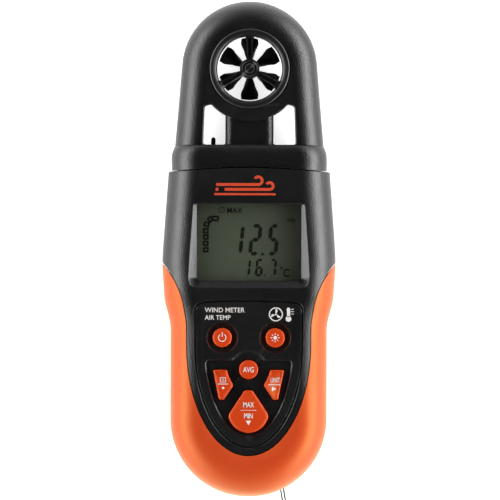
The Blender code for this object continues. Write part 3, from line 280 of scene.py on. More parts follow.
dust, dust_in, dust_out = node_group("settled_dust", {"Amount": 0.05}, ["Mask"])
place = dust.nodes.new("ShaderNodeTexCoord").outputs["Object"]
facing = add(dust, "ShaderNodeSeparateXYZ", {0: dust.nodes.new("ShaderNodeNewGeometry").outputs["Normal"]})
upward = maths(dust, "MAXIMUM", facing.outputs["Z"], 0.0)
specks = add(dust, "ShaderNodeTexNoise", {"Vector": place}, scale=2400.0, detail=1.0)
sparse = add(dust, "ShaderNodeMapRange", {"Value": specks.outputs["Fac"]})
sparse.inputs["From Min"].default_value = 0.60
sparse.inputs["From Max"].default_value = 0.75
film = maths(dust, "MULTIPLY", sparse.outputs["Result"], upward)
dust.links.new(maths(dust, "MULTIPLY", film, dust_in.outputs["Amount"]), dust_out.inputs["Mask"])
print("groups:", ", ".join(g.name for g in bpy.data.node_groups))

# %% [markdown]
# ## The finishes
# One function lays the effects over a plain colour. It mixes two near tones of the colour with a soft
# noise, rubs the edges paler, partly as wear and partly as a painted highlight, dusts the top, and drives
# roughness and bump from the groups. What is the same all over, such as metal or sheen, is set on the
# shader itself.

# %% A finish from a colour
def shade(colour, factor):
    return tuple(min(1.0, c * factor) for c in colour) + (1,)


def place_group(tree, name, **values):
    node = tree.nodes.new("ShaderNodeGroup")
    node.node_tree = bpy.data.node_groups[name]
    for label, value in values.items():
        node.inputs[label].default_value = value
    return node.outputs[0]


def colour_mix(tree, factor, first, second):
    """A colour mix of two colours or sockets by a factor socket."""
    node = tree.nodes.new("ShaderNodeMix")
    node.data_type = "RGBA"
    tree.links.new(factor, node.inputs["Factor"])
    for label, value in (("A", first), ("B", second)):
        socket = [s for s in node.inputs if s.name == label and s.type == "RGBA"][0]
        if isinstance(value, bpy.types.NodeSocket):
            tree.links.new(value, socket)
        else:
            socket.default_value = value
    return [s for s in node.outputs if s.type == "RGBA"][0]


def finish(name, colour, roughness, metallic=0.0, grain_scale=2600.0, coarse=0.3, bump=0.00002,
           drift=0.12, rub_and_highlight_amount=0.3, rub_and_highlight_colour=None, dust_amount=0.03, smudge=0.05, pattern=None,
           **sockets):
    """A material from a plain colour; pattern lays colours over it, sockets sets shader inputs by name."""
    made = bpy.data.materials.new(name)
    made.use_nodes = True
    tree = made.node_tree
    shader = tree.nodes["Principled BSDF"]
    place = tree.nodes.new("ShaderNodeTexCoord").outputs["Object"]
    tone = add(tree, "ShaderNodeTexNoise", {"Vector": place}, scale=90.0, detail=4.0)
    base = colour_mix(tree, tone.outputs["Fac"], shade(colour, 1 - drift), shade(colour, 1 + drift))
    if pattern:
        base = pattern(tree, place, base)
    rub_and_highlight_tone = rub_and_highlight_colour or tuple(min(1.0, c * 2.2 + 0.03) for c in colour)
    # Edge rub: partly wear, partly a painted highlight on sharp rims.
    base = colour_mix(tree, place_group(tree, "edge_rub_and_highlight", Amount=rub_and_highlight_amount), base, (*rub_and_highlight_tone, 1))
    base = colour_mix(tree, place_group(tree, "settled_dust", Amount=dust_amount), base, (0.5, 0.49, 0.47, 1))
    tree.links.new(base, shader.inputs["Base Color"])
    glossiest, dullest = max(0.02, roughness - smudge), min(1.0, roughness + smudge)
    rough = place_group(tree, "handling", Low=glossiest, High=dullest)
    tree.links.new(rough, shader.inputs["Roughness"])
    height = place_group(tree, "moulded_grain", Scale=grain_scale, Coarse=coarse)
    relief = add(tree, "ShaderNodeBump", {"Height": height})
    relief.inputs["Strength"].default_value = 1.0
    relief.inputs["Distance"].default_value = bump
    tree.links.new(relief.outputs["Normal"], shader.inputs["Normal"])
    shader.inputs["Metallic"].default_value = metallic
    for label, value in sockets.items():
        shader.inputs[label.replace("_", " ")].default_value = value
    return made


# %% [markdown]
# The casing is black moulded plastic with an eroded grain, and the vane is the same plastic, polished,
# its sharp rims lit by a painted highlight. The grips and keys are orange rubber, and the keys' pale rims
# are partly a painted highlight. Rubber has a soft bloom at a glancing angle, which is what sheen is for.
# The inks differ mostly in colour, so one function makes them all.

# %% Plastics, rubber and inks
black = finish("black_moulding", (0.0022, 0.0022, 0.0024), 0.33, bump=0.00013, grain_scale=2100.0,
               coarse=0.15, smudge=0.03, rub_and_highlight_colour=(0.05, 0.05, 0.052), rub_and_highlight_amount=0.35, dust_amount=0.01)
# The vane's pale grey edge rub is a painted highlight on its sharp rims.
black_fine = finish("black_vane_plastic", (0.0022, 0.0022, 0.0024), 0.34, bump=0.00001,
                    rub_and_highlight_colour=(0.22, 0.22, 0.23), rub_and_highlight_amount=0.9, dust_amount=0.01)
orange = finish("soft_orange", (0.43, 0.036, 0.008), 0.40, bump=0.00001, grain_scale=4200.0, drift=0.05,
                rub_and_highlight_colour=(0.75, 0.16, 0.05), rub_and_highlight_amount=0.25, dust_amount=0.02,
                Sheen_Weight=0.42, Sheen_Roughness=0.5, Sheen_Tint=(1.0, 0.66, 0.16, 1),
                Specular_IOR_Level=0.45, Specular_Tint=(1.0, 0.76, 0.22, 1))
# The keys' peach edge rub is partly wear and partly a painted highlight along their rims.
key_orange = finish("key_orange", (0.46, 0.033, 0.003), 0.42, bump=0.00001, drift=0.04,
                    Specular_Tint=(1.0, 0.66, 0.35, 1),
                    rub_and_highlight_colour=(0.8, 0.22, 0.06), rub_and_highlight_amount=0.6, dust_amount=0.01)
white_ink = finish("white_ink", (0.60, 0.57, 0.55), 0.55, bump=0.000004, drift=0.06, rub_and_highlight_amount=0.0)
orange_ink = finish("orange_ink", (0.46, 0.040, 0.010), 0.5, bump=0.000004, drift=0.05, rub_and_highlight_amount=0.0)
lcd_ink = finish("display_ink", (0.006, 0.007, 0.005), 0.4, bump=0.000002, drift=0.1, rub_and_highlight_amount=0.0,
                 dust_amount=0.0, Specular_IOR_Level=0.06)
nylon = finish("white_nylon", (0.72, 0.72, 0.70), 0.45, drift=0.03)
silicone = finish("grey_silicone", (0.16, 0.16, 0.17), 0.6, drift=0.08, bump=0.00001)
print("plastics:", ", ".join(m.name for m in bpy.data.materials))

# %% [markdown]
# Metal has no colour of its own under the gloss: what it reflects takes its tint. The screws and springs
# are bright steel, the ferrule and contacts are nickel plated, and the magnet is a dull ferrite.

# %% Metals
steel = finish("bright_steel", (0.55, 0.55, 0.57), 0.28, metallic=1.0, grain_scale=5200.0, bump=0.000004)
nickel = finish("nickel_plate", (0.66, 0.63, 0.58), 0.24, metallic=1.0, grain_scale=4200.0, bump=0.000004,
                drift=0.06, smudge=0.08)
magnet = finish("ferrite", (0.09, 0.09, 0.10), 0.4, metallic=0.6, bump=0.00001)
print("metals ready")


# %% [markdown]
# Some finishes carry a pattern. The circuit board has copper tracks under its green mask, the cells have a
# sleeve with a coppery end, and the strap is woven. Each pattern is a function that lays its colours over
# the base.

# %% Patterned finishes
def tracks(tree, place, base):
    """Pale tracks and pads on a circuit board, from a brick pattern."""
    bricks = add(tree, "ShaderNodeTexBrick", {"Vector": place}, scale=210.0)
    bricks.inputs["Mortar Size"].default_value = 0.03
    bricks.inputs["Mortar"].default_value = (0.04, 0.26, 0.11, 1)
    lines = add(tree, "ShaderNodeTexVoronoi", {"Vector": place}, scale=260.0)
    pads = maths(tree, "LESS_THAN", lines.outputs["Distance"], 0.16)
    return colour_mix(tree, pads, colour_mix(tree, bricks.outputs["Fac"], base, (0.05, 0.28, 0.12, 1)),
                      (0.62, 0.58, 0.45, 1))


CELL_HIGH = box("battery_1")[1].y


def sleeve(tree, place, base):
    """A cell's sleeve: a coppery third and a thin pale line beside it."""
    along = add(tree, "ShaderNodeSeparateXYZ", {0: place}).outputs["Y"]
    end = maths(tree, "GREATER_THAN", along, (CELL_HIGH - 12.0) * MM)
    line = maths(tree, "COMPARE", along, (CELL_HIGH - 12.4) * MM, 0.3 * MM)
    banded = colour_mix(tree, end, base, (0.50, 0.22, 0.07, 1))
    return colour_mix(tree, line, banded, (0.7, 0.7, 0.68, 1))


board = finish("green_board", (0.012, 0.11, 0.045), 0.35, pattern=tracks, drift=0.08)
cell_wrap = finish("cell_sleeve", (0.012, 0.014, 0.02), 0.3, pattern=sleeve, bump=0.000004,
                   Coat_Weight=0.4, Coat_Roughness=0.15)
cord_black = finish("woven_cord", (0.008, 0.008, 0.009), 0.75, grain_scale=6000.0, bump=0.00005, drift=0.35,
                    rub_and_highlight_colour=(0.03, 0.03, 0.032), rub_and_highlight_amount=0.3, dust_amount=0.01, Specular_IOR_Level=0.2)
print("patterns ready")


# %% [markdown]
# The display is two finishes. Its backing is a reflective greenish grey with faint mottling, and a painted
# shade makes it a little darker towards the right. The window over it is clear plastic, which has to let
# the light through as well as the view: a light path switch makes it transparent to shadow rays.

# %% Display backing and window
# Painted shade: the backing turns darker from 2 mm to 18 mm towards the right.
def painted_shade_to_right(tree, place, base):
    along = add(tree, "ShaderNodeSeparateXYZ", {0: place}).outputs["X"]
    shade_fade = add(tree, "ShaderNodeMapRange", {"Value": along})
    shade_fade.inputs["From Min"].default_value = 2 * MM
    shade_fade.inputs["From Max"].default_value = 18 * MM
    return colour_mix(tree, shade_fade.outputs["Result"], base, (0.030, 0.031, 0.024, 1))


lcd_back = finish("display_backing", (0.050, 0.056, 0.039), 0.5, Specular_IOR_Level=0.12, pattern=painted_shade_to_right,
                  drift=0.04, rub_and_highlight_amount=0.0, dust_amount=0.0, bump=0.000002)

clear = bpy.data.materials.new("clear_window")
clear.use_nodes = True
tree = clear.node_tree
glassy = tree.nodes["Principled BSDF"]
glassy.inputs["Transmission Weight"].default_value = 1.0
glassy.inputs["IOR"].default_value = 1.46
scratches = place_group(tree, "handling", Low=0.01, High=0.05, Scale=140.0)
tree.links.new(scratches, glassy.inputs["Roughness"])
haze = tree.nodes.new("ShaderNodeTexNoise")
haze.inputs["Scale"].default_value = 300.0
tree.links.new(tree.nodes.new("ShaderNodeTexCoord").outputs["Object"], haze.inputs["Vector"])
tint = colour_mix(tree, haze.outputs["Fac"], (0.93, 0.95, 0.93, 1), (0.97, 0.98, 0.97, 1))
tree.links.new(tint, glassy.inputs["Base Color"])
through = tree.nodes.new("ShaderNodeBsdfTransparent")
through.inputs["Color"].default_value = (0.92, 0.94, 0.92, 1)
switch = tree.nodes.new("ShaderNodeMixShader")
tree.links.new(tree.nodes.new("ShaderNodeLightPath").outputs["Is Shadow Ray"], switch.inputs["Fac"])
tree.links.new(glassy.outputs[0], switch.inputs[1])
tree.links.new(through.outputs[0], switch.inputs[2])
tree.links.new(switch.outputs[0], tree.nodes["Material Output"].inputs["Surface"])
print("display finishes ready")

# %% [markdown]
# ## Tools for making meshes
# Nearly every moulded piece is a plan outline drawn up between two faces, with a rounded edge, and then cut
# by smaller outlines. So the tools are few: lofts through rings of points, turned profiles, and Boolean
# cuts that are applied at once, so that no cutter is left in the scene.

# %% Solids from rings
def lofted(rings):
    """A closed solid through rings of equally many points."""
    shape = bmesh.new()
    loops = [[shape.verts.new(point) for point in ring] for ring in rings]
    for lower, upper in zip(loops, loops[1:]):
        for i, vert in enumerate(lower):
            j = (i + 1) % len(lower)
            shape.faces.new((vert, lower[j], upper[j], upper[i]))
    shape.faces.new(list(reversed(loops[0])))
    shape.faces.new(loops[-1])
    return shape


def prism(outline, base, top):
    return lofted([[(x, y, z) for x, y in outline] for z in (base, top)])


def block(x0, x1, y0, y1, z0, z1):
    return prism([(x0, y0), (x1, y0), (x1, y1), (x0, y1)], z0, z1)


def turned(profile, middle, axis="Z", steps=64):
    """A closed profile of (radius, height) points turned about an axis through a point."""
    shape = bmesh.new()
    rings = []
    for radius, height in profile:
        count = 1 if radius == 0 else steps
        angles = [2 * math.pi * (i + 0.5) / steps for i in range(count)]
        rings.append([shape.verts.new((radius * math.cos(a), radius * math.sin(a), height)) for a in angles])
    for k, ring in enumerate(rings):
        after = rings[(k + 1) % len(rings)]
        if len(ring) == len(after) == 1:
            continue
        for i in range(steps):
            j = (i + 1) % steps
            corners = [ring[i % len(ring)], ring[j % len(ring)], after[j % len(after)], after[i % len(after)]]
            face = [v for n, v in enumerate(corners) if v not in corners[:n]]
            shape.faces.new(face)
    turn = {"Z": Matrix(), "Y": Matrix.Rotation(math.radians(-90), 4, "X"),
            "X": Matrix.Rotation(math.radians(90), 4, "Y")}[axis]
    bmesh.ops.transform(shape, matrix=Matrix.Translation(middle) @ turn, verts=shape.verts)
    return shape


def rod(radius, start, end, middle, axis="Z", steps=32):
    return turned([(0, start), (radius, start), (radius, end), (0, end)], middle, axis, steps)


# %% [markdown]
# A mesh can be cut by hand, face by face, or by another solid. Solids are safer here, since the cutters
# follow the same outlines as the pieces that fit into them. Each cut is a Boolean modifier, and settling
# the object applies them all and removes the cutters.

# %% Objects and cuts
def solid(name, shape):
    """A bmesh in millimetres as an object in metres."""
    bmesh.ops.recalc_face_normals(shape, faces=shape.faces)
    bmesh.ops.scale(shape, vec=(MM, MM, MM), verts=shape.verts)
    mesh = bpy.data.meshes.new(name)
    shape.to_mesh(mesh)
    shape.free()
    made = bpy.data.objects.new(name, mesh)
    bpy.context.scene.collection.objects.link(made)
    return made


def settle(target):
    """Applies the modifiers and removes the cutters they used."""
    if not target.modifiers:
        return target
    cutters = {m.object for m in target.modifiers if m.type == "BOOLEAN"}
    bpy.context.view_layer.update()
    shown = target.evaluated_get(bpy.context.evaluated_depsgraph_get())
    mesh = bpy.data.meshes.new_from_object(shown)
    target.modifiers.clear()
    target.data = mesh
    for cutter in cutters:
        bpy.data.objects.remove(cutter)
    return target


def boolean(target, operation, shapes):
    for shape in shapes:
        cutter = shape if isinstance(shape, bpy.types.Object) else solid("cutter", shape)
        modifier = target.modifiers.new(operation, "BOOLEAN")
        modifier.operation = operation
        modifier.object = settle(cutter)


def cut(target, *shapes):
    boolean(target, "DIFFERENCE", shapes)


def join(target, *shapes):
    boolean(target, "UNION", shapes)


def keep_inside(target, *shapes):
    boolean(target, "INTERSECT", shapes)


def piece(name, shape, body, stands_for, material, sharp=34):
    """The finished piece: shaded, on its body, standing for its CAD nodes."""
    made = settle(shape if isinstance(shape, bpy.types.Object) else solid(name, shape))
    made.name = name
    made.data.name = name
    made.data.materials.clear()
    made.data.materials.append(material)
    made.data.shade_smooth()
    made.data.set_sharp_from_angle(angle=math.radians(sharp))
    weighted = made.modifiers.new("weighted_normals", "WEIGHTED_NORMAL")
    weighted.keep_sharp = True
    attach(made, body)
    if stands_for:
        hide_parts(*stands_for)
    print(f"{name}: {len(made.data.polygons)} faces")
    return made


# %% [markdown]
# ## Outlines
# The plan of the casing is widest at the hip, where the soft grips begin, and tapers to a round heel. The
# hard face between the grips is half an ellipse that flares out to the hip. The same few outlines shape
# the face, the groove round the keys and the sunk pocket.

# %% Plan outlines
def smooth_step(t):
    t = min(1.0, max(0.0, t))
    return t * t * (3 - 2 * t)


def arc(cx, cy, radius, start, end, steps, squash=1.0):
    """Points along an arc, its angles in degrees; squash scales its height."""
    angles = [math.radians(start + (end - start) * i / steps) for i in range(steps + 1)]
    return [(cx + radius * math.cos(a), cy + squash * radius * math.sin(a)) for a in angles]


def mirrored(right_side):
    """Closes an outline from its right side, which runs from the bottom upwards."""
    return right_side + [(-x, y) for x, y in reversed(right_side) if abs(x) > 1e-6]


def flipped(outline):
    return [(-x, y) for x, y in reversed(outline)]


def grown(outline, distance):
    """Moves the sides of a counter-clockwise outline outwards, or inwards if distance is negative."""
    moved = []
    for i, (x, y) in enumerate(outline):
        x0, y0 = outline[i - 1]
        x1, y1 = outline[(i + 1) % len(outline)]
        before = Vector((y - y0, x0 - x)).normalized()
        after = Vector((y1 - y, x - x1)).normalized()
        corner = (before + after).normalized()
        reach = distance / max(0.35, corner.dot(after))
        moved.append((x + corner.x * reach, y + corner.y * reach))
    return moved


def rounded(corners, radii, steps=6):
    """A counter-clockwise polygon with each corner rounded, by one radius or by one for each corner."""
    points = []
    for i, corner in enumerate(corners):
        radius = radii[i] if isinstance(radii, (list, tuple)) else radii
        if not radius:
            points.append(corner)
            continue
        here = Vector(corner)
        back = (Vector(corners[i - 1]) - here).normalized()
        ahead = (Vector(corners[(i + 1) % len(corners)]) - here).normalized()
        half = math.acos(max(-1.0, min(1.0, back.dot(ahead)))) / 2
        start = here + back * radius / math.tan(half)
        end = here + ahead * radius / math.tan(half)
        for k in range(steps + 1):
            t = k / steps
            points.append(tuple(start * (1 - t) ** 2 + here * 2 * t * (1 - t) + end * t * t))
    return points


def rectangle(half_x, y0, y1, radius=0.0, steps=6):
    corners = [(-half_x, y0), (half_x, y0), (half_x, y1), (-half_x, y1)]
    return rounded(corners, radius, steps) if radius else corners


def casing_half(y):
    """Half the casing's width at y, above its round heel, with the hip's corner eased."""
    away = math.sqrt((y - HIP_Y) ** 2 + 2.5 ** 2) - 2.5
    slope = HIP_HALF - TAPER * away
    if y >= HIP_Y:
        return slope
    share = smooth_step((y - WAIST_Y) / (SHOULDER_Y - WAIST_Y))
    return WAIST_HALF + (slope - WAIST_HALF) * share


def casing_outline(fine=True):
    side = arc(0, HEEL_Y, WAIST_HALF, -90, 0, 30 if fine else 10)
    steps = 34 if fine else 6
    top = SEAM_Y + 16
    side += [(casing_half(y), y) for y in [WAIST_Y + (top - WAIST_Y) * i / steps for i in range(steps + 1)]]
    return mirrored(side)


def hard_face_outline(face):
    """The hard face between the grips: half an ellipse that flares out until it takes in both sides."""
    half, bottom, middle = face
    points = arc(0, HEEL_Y + middle, half, -90, 0, 36, squash=(middle + bottom) / half)
    base = max(HIP_Y - 22.0, HEEL_Y + middle)
    steps = 24
    for i in range(1, steps + 1):
        share = i / steps
        points.append((half + 0.4 * smooth_step(share * 4) + (HIP_HALF + 0.3 - half) * share ** 2.3,
                       base + (HIP_Y - base) * share + 0.3))
    points += [(HIP_HALF + 20, HIP_Y + 1.2), (HIP_HALF + 20, SEAM_Y + 30)]
    return mirrored(points)


def shield_outline(half, bottom, top, corner, crown=0.7):
    """The keypad panel: half an ellipse below, straight sides, rounded upper corners, a crowned top."""
    depth = PANEL_MIDDLE - bottom
    end = math.asin(min(0.0, (top - corner - PANEL_MIDDLE) / depth))
    reach = half * math.cos(end)
    side = arc(0, PANEL_MIDDLE, half, -90, math.degrees(end), 36, squash=depth / half)
    side += arc(reach - corner, top - corner, corner, 2, 88, 10)
    across = [reach - corner - 0.5 - (reach - corner - 0.5) * i / 6 for i in range(7)]
    return mirrored(side + [(x, top + crown * (1 - (x / reach) ** 2)) for x in across])


print("outlines:", len(casing_outline()), "points round the casing")


# %% [markdown]
# A moulded edge is a quarter of an ellipse: it reaches further down the side than in over the face on this
# casing, which makes it thin in the hand. Levels down that edge give the rings of the loft.

# %% Rounded forms
def edge_levels(edge, shrink, steps):
    reach = max(0.5, edge[0] - shrink)
    depth = max(0.5, edge[1] - shrink)
    angles = [math.pi / 2 * i / steps for i in range(steps + 1)]
    return [(depth * (1 - math.sin(a)), reach * (1 - math.cos(a))) for a in angles]


def rounded_solid(outline, base, top, rear_edge, front_edge, shrink=0.0, steps=16):
    levels = [(base + shrink + d, inset) for d, inset in reversed(edge_levels(rear_edge, shrink, steps))]
    levels += [(top - shrink - d, inset) for d, inset in edge_levels(front_edge, shrink, steps)]
    return lofted([[(x, y, z) for x, y in grown(outline, -shrink - inset)] for z, inset in levels])


def casing_form(shrink=0.0, fine=True):
    return rounded_solid(casing_outline(fine), 0.0, DEPTH, REAR_EDGE, FRONT_EDGE, shrink, 16 if fine else 4)


def head_outline(fine):
    """The arch's plan: a half circle on legs that spread a little, down to below the collar."""
    flare = (LEG_HALF - HEAD_RADIUS) / (VANE.y - COLLAR_TOP)
    below = 16
    heights = [COLLAR_TOP - below + (below + 0.55 * (VANE.y - COLLAR_TOP)) * i / 8 for i in range(8)]
    side = [(HEAD_RADIUS + flare * (VANE.y - y), y) for y in heights]
    side += arc(0, VANE.y, HEAD_RADIUS, 6, 90, 34 if fine else 12)
    return mirrored(side)


def head_form(shrink=0.0, fine=True):
    return rounded_solid(head_outline(fine), PARTING - HEAD_DEPTH / 2, HEAD_FACE, HEAD_EDGE, HEAD_EDGE,
                         shrink, 16 if fine else 4)


def seam_dome(apex, above):
    """A cutter bounded by the seam's shallow dome: all that lies above it, or below it."""
    reach = HIP_HALF + 12
    radius = 200.0
    steps = 24
    edge = [(reach * i / steps, apex - radius + math.sqrt(radius ** 2 - (reach * i / steps) ** 2))
            for i in range(steps + 1)]
    far = apex + 80 if above else apex - 30
    return turned(edge + [(reach, far), (0, far)], (0, 0, PARTING), "Y", 96)


HAIRLINE = 0.03


def half_space(front):
    """All that lies in front of the parting plane, or behind it, less half the hairline seam."""
    low, high = (PARTING + HAIRLINE, 60) if front else (-40, PARTING - HAIRLINE)
    return block(-60, 60, -120, 120, low, high)


def mouth(outline, floor, face, lip, way=1):
    """A cutter for a hole or recess whose upper edge is rounded by lip."""
    levels = [(floor, 0.0)] + [(face - way * lip * math.cos(a), lip * (1 - math.sin(math.pi / 2 - a)))
                               for a in [math.pi / 8 * i for i in range(5)]]
    levels.append((face + way * 3.0, lip))
    return lofted([[(x, y, z) for x, y in grown(outline, inset)] for z, inset in levels])


# %% [markdown]
# ## Strap: thread, ferrule and cord
# The meter hangs from a thin thread looped round a post in its heel. The thread goes round a bar in a
# metal ferrule, and the thicker wrist strap starts there. Cords come early, because their length decides
# how much room the whole model takes. The strap is wound two strands together into a neat coil, its far
# loop tucked into the middle.

# %% The thread
THREAD = 0.5
STRAP_X = 11.2
HEEL = Vector((STRAP_X, BOTTOM, 0))
FERRULE_LOW, FERRULE_HIGH = box("strap_ferrule")
FERRULE_X = (FERRULE_LOW.x + FERRULE_HIGH.x) / 2
BAR = 1.2
THREAD_OUT = ((-0.9, 7.4, 4.6), (-0.75, 5.0, 4.0), (-0.4, 2.5, 3.0), (0.2, -1.2, 1.9), (1.3, -8.0, 1.3),
              (2.9, -16.0, 1.4), (4.2, -23.0, 2.3), (4.6, -28.0, 2.9))
THREAD_TURN = ((0.05, 0.0, 1.2), (0.2, -1.1, 0.4), (0.3, -1.15, -0.4), (0.45, 0.0, -1.2))
THREAD_BACK = ((5.2, -28.0, 0.6), (4.9, -23.0, 0.4), (3.8, -16.0, 0.4), (2.3, -8.0, 0.5), (1.2, -1.2, 1.2),
               (0.6, 2.5, 2.4), (0.45, 5.0, 3.7), (0.4, 7.4, 4.6))


def smooth_route(points, spacing):
    """Points evenly along a Catmull-Rom curve through the route's own points."""
    padded = [2 * points[0] - points[1]] + points + [2 * points[-1] - points[-2]]
    dense = []
    for a, b, c, d in zip(padded, padded[1:], padded[2:], padded[3:]):
        for k in range(20):
            t = k / 20
            dense.append(0.5 * (2 * b + (c - a) * t + (2 * a - 5 * b + 4 * c - d) * t ** 2
                                + (3 * b - a - 3 * c + d) * t ** 3))
    dense.append(points[-1])
    lengths = [0.0]
    for p, q in zip(dense, dense[1:]):
        lengths.append(lengths[-1] + (q - p).length)
    count = max(2, round(lengths[-1] / spacing))
    even = []
    k = 0
    for i in range(count + 1):
        goal = lengths[-1] * i / count
        while k < len(dense) - 2 and lengths[k + 1] < goal:
            k += 1
        share = (goal - lengths[k]) / (lengths[k + 1] - lengths[k])
        even.append(dense[k].lerp(dense[k + 1], min(1.0, share)))
    return even


def route_length(points):
    return sum((q - p).length for p, q in zip(points, points[1:]))


def plain_cord(name, route, diameter):
    curve = bpy.data.curves.new(name, "CURVE")
    curve.dimensions = "3D"
    curve.bevel_depth = diameter / 2 * MM
    curve.bevel_resolution = 4
    curve.use_fill_caps = True
    spline = curve.splines.new("POLY")
    spline.points.add(len(route) - 1)
    for point, place in zip(spline.points, route):
        point.co = (*(place * MM), 1)
    curve.materials.append(cord_black)
    made = bpy.data.objects.new(name, curve)
    bpy.context.scene.collection.objects.link(made)
    return made


bar_middle = Vector((FERRULE_X, FERRULE_HIGH.y - BAR / 2, (FERRULE_LOW.z + FERRULE_HIGH.z) / 2))
thread_places = [HEEL + Vector(p) for p in THREAD_OUT] + [bar_middle + Vector(p) for p in THREAD_TURN]
thread_places += [HEEL + Vector(p) for p in THREAD_BACK]
thread_route = smooth_route(thread_places, 1.0)
thread = plain_cord("wrist_thread", thread_route, THREAD)
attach(thread, "casing")
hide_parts("strap_thread")
print(f"thread {route_length(thread_route):.1f} mm long")

# %% [markdown]
# The ferrule is a small plated block, crimped on the strap's two ends. It has an eye at its near end with
# a bar left across it, which the thread goes round. It starts as a rounded slab, and the eye, the two
# steps to the bar and the crimp's grooves are cut from it.

# %% The ferrule
half = (FERRULE_HIGH.x - FERRULE_LOW.x) / 2
ferrule_plan = rounded([(FERRULE_X - half, FERRULE_LOW.y), (FERRULE_X + half, FERRULE_LOW.y),
                        (FERRULE_X + half, FERRULE_HIGH.y), (FERRULE_X - half, FERRULE_HIGH.y)], 1.2, 8)
ferrule = solid("ferrule", rounded_solid(ferrule_plan, FERRULE_LOW.z, FERRULE_HIGH.z, (0.7, 0.7), (0.7, 0.7),
                                         steps=6))
EYE = 3.6
ferrule_middle = bar_middle.z
eye_end = FERRULE_HIGH.y - BAR
cut(ferrule, block(FERRULE_X - EYE / 2, FERRULE_X + EYE / 2, eye_end - EYE, eye_end, -5, 10))
for near, far in ((ferrule_middle + BAR / 2, 10), (-5, ferrule_middle - BAR / 2)):
    cut(ferrule, block(FERRULE_X - EYE / 2, FERRULE_X + EYE / 2, eye_end - 1, FERRULE_HIGH.y + 5, near, far))
for y in (FERRULE_LOW.y + 1.2, FERRULE_LOW.y + 2.3):
    groove = rod(0.18, -half - 1, half + 1, (FERRULE_X, y, FERRULE_HIGH.z), "X", 10)
    cut(ferrule, groove)
ferrule = piece("crimp_ferrule", ferrule, "casing", ["strap_ferrule"], nickel)

# %% [markdown]
# A strap hung up for sale is wound flat. Both strands leave the ferrule side by side, go round together,
# and climb over their own start; the far loop folds into the middle. The route is worked out in polar
# form, with heights that keep every strand clear of the one below.

# %% The strap's route
STRAP = 2.8
coil = centre("wrist_strap")
COIL_OUTER = box("wrist_strap")[1].x - coil.x - STRAP / 2
COIL_INNER = COIL_OUTER - STRAP
LOW_Z = 1.9
HIGH_Z = LOW_Z + STRAP
COIL_END = 575
FOLD = 5.6
SETTLING = 140
LEAD_Z = 1.6


def polar(radius, degrees, z):
    a = math.radians(-degrees)
    return Vector((coil.x + radius * math.cos(a), coil.y + radius * math.sin(a), z))


def climb(degrees):
    """The strand rises to the second layer just before it meets the strap's own start."""
    return LOW_Z + STRAP * smooth_step((degrees - 245) / 60)


def outer_strand(degrees):
    return polar(COIL_OUTER, degrees, climb(degrees))


def inner_strand(degrees):
    """The inner strand leaves the second layer and settles in the coil's middle."""
    share = smooth_step((degrees - (COIL_END - SETTLING)) / SETTLING)
    radius = COIL_INNER + (COIL_OUTER - 2 * FOLD - COIL_INNER) * share
    off = COIL_INNER - radius
    perch = math.sqrt(max(0.0, (1.06 * STRAP) ** 2 - off ** 2))
    return polar(radius, degrees, min(climb(degrees), LOW_Z + perch))


def fold_arc():
    """The far loop: half a circle from the outer strand, over the coil, to the inner one."""
    points = []
    steps = 16
    a = math.radians(-COIL_END)
    out = Vector((math.cos(a), math.sin(a), 0))
    ahead = Vector((math.sin(a), -math.cos(a), 0))
    for i in range(1, steps):
        turn = math.pi * i / steps
        radius = COIL_OUTER - FOLD + FOLD * math.cos(turn)
        drop = smooth_step((COIL_INNER - 0.6 - radius) / 4.6)
        points.append(Vector((coil.x, coil.y, 0)) + out * radius + ahead * FOLD * math.sin(turn)
                      + Vector((0, 0, HIGH_Z - STRAP * drop)))
    return points


lead_end = FERRULE_LOW.y - 0.4
lead = [lead_end + (coil.y - lead_end) * i / 8 for i in range(8)]
degrees_down = list(range(0, COIL_END + 1, 5))
lead_heights = [LEAD_Z + (LOW_Z - LEAD_Z) * i / 8 for i in range(8)]
strap_route = [Vector((coil.x + COIL_OUTER, y, z)) for y, z in zip(lead, lead_heights)]
strap_route += [outer_strand(d) for d in degrees_down]
strap_route += fold_arc()
strap_route += [inner_strand(d) for d in reversed(degrees_down)]
strap_route += [Vector((coil.x + COIL_INNER, y, z)) for y, z in zip(lead[::-1], lead_heights[::-1])]
strap_route = smooth_route(strap_route, 0.5)
print(f"strap {route_length(strap_route):.1f} mm long")

# %% [markdown]
# A braided cord shows two families of strands that cross. Here the braid is real: each ring of the tube is
# pushed in where two strands part, along two helices that turn opposite ways.

# %% The braided strap
SIDES = 16
BRAID_PITCH = 5.0
BRAID_DEPTH = 0.05


def braided_tube(route, diameter):
    """A tube along a route, pushed in between the strands of its braid."""
    rings = []
    across = Vector((0, 0, 1))
    travelled = 0.0
    for i, place in enumerate(route):
        along = (route[min(i + 1, len(route) - 1)] - route[max(i - 1, 0)]).normalized()
        across = (across - along * across.dot(along)).normalized()
        third = along.cross(across)
        if i:
            travelled += (place - route[i - 1]).length
        ring = []
        for k in range(SIDES):
            a = 2 * math.pi * k / SIDES
            lead_angle = 2 * math.pi * travelled / BRAID_PITCH
            weave = abs(math.sin(2 * a + lead_angle) * math.sin(2 * a - lead_angle))
            radius = diameter / 2 * (1 - BRAID_DEPTH * (1 - weave))
            ring.append(place + (across * math.cos(a) + third * math.sin(a)) * radius)
        rings.append(ring)
    return lofted(rings)


strap = piece("braided_strap", braided_tube(strap_route, STRAP), "casing",
              ["wrist_strap", "strap_lead"], cord_black, sharp=80)

# %% [markdown]
# A hook and loop tie holds the coil together. It is a flat band bent to a rounded box, so it is drawn as
# one outline and pushed along, and a smaller outline takes out its inside.

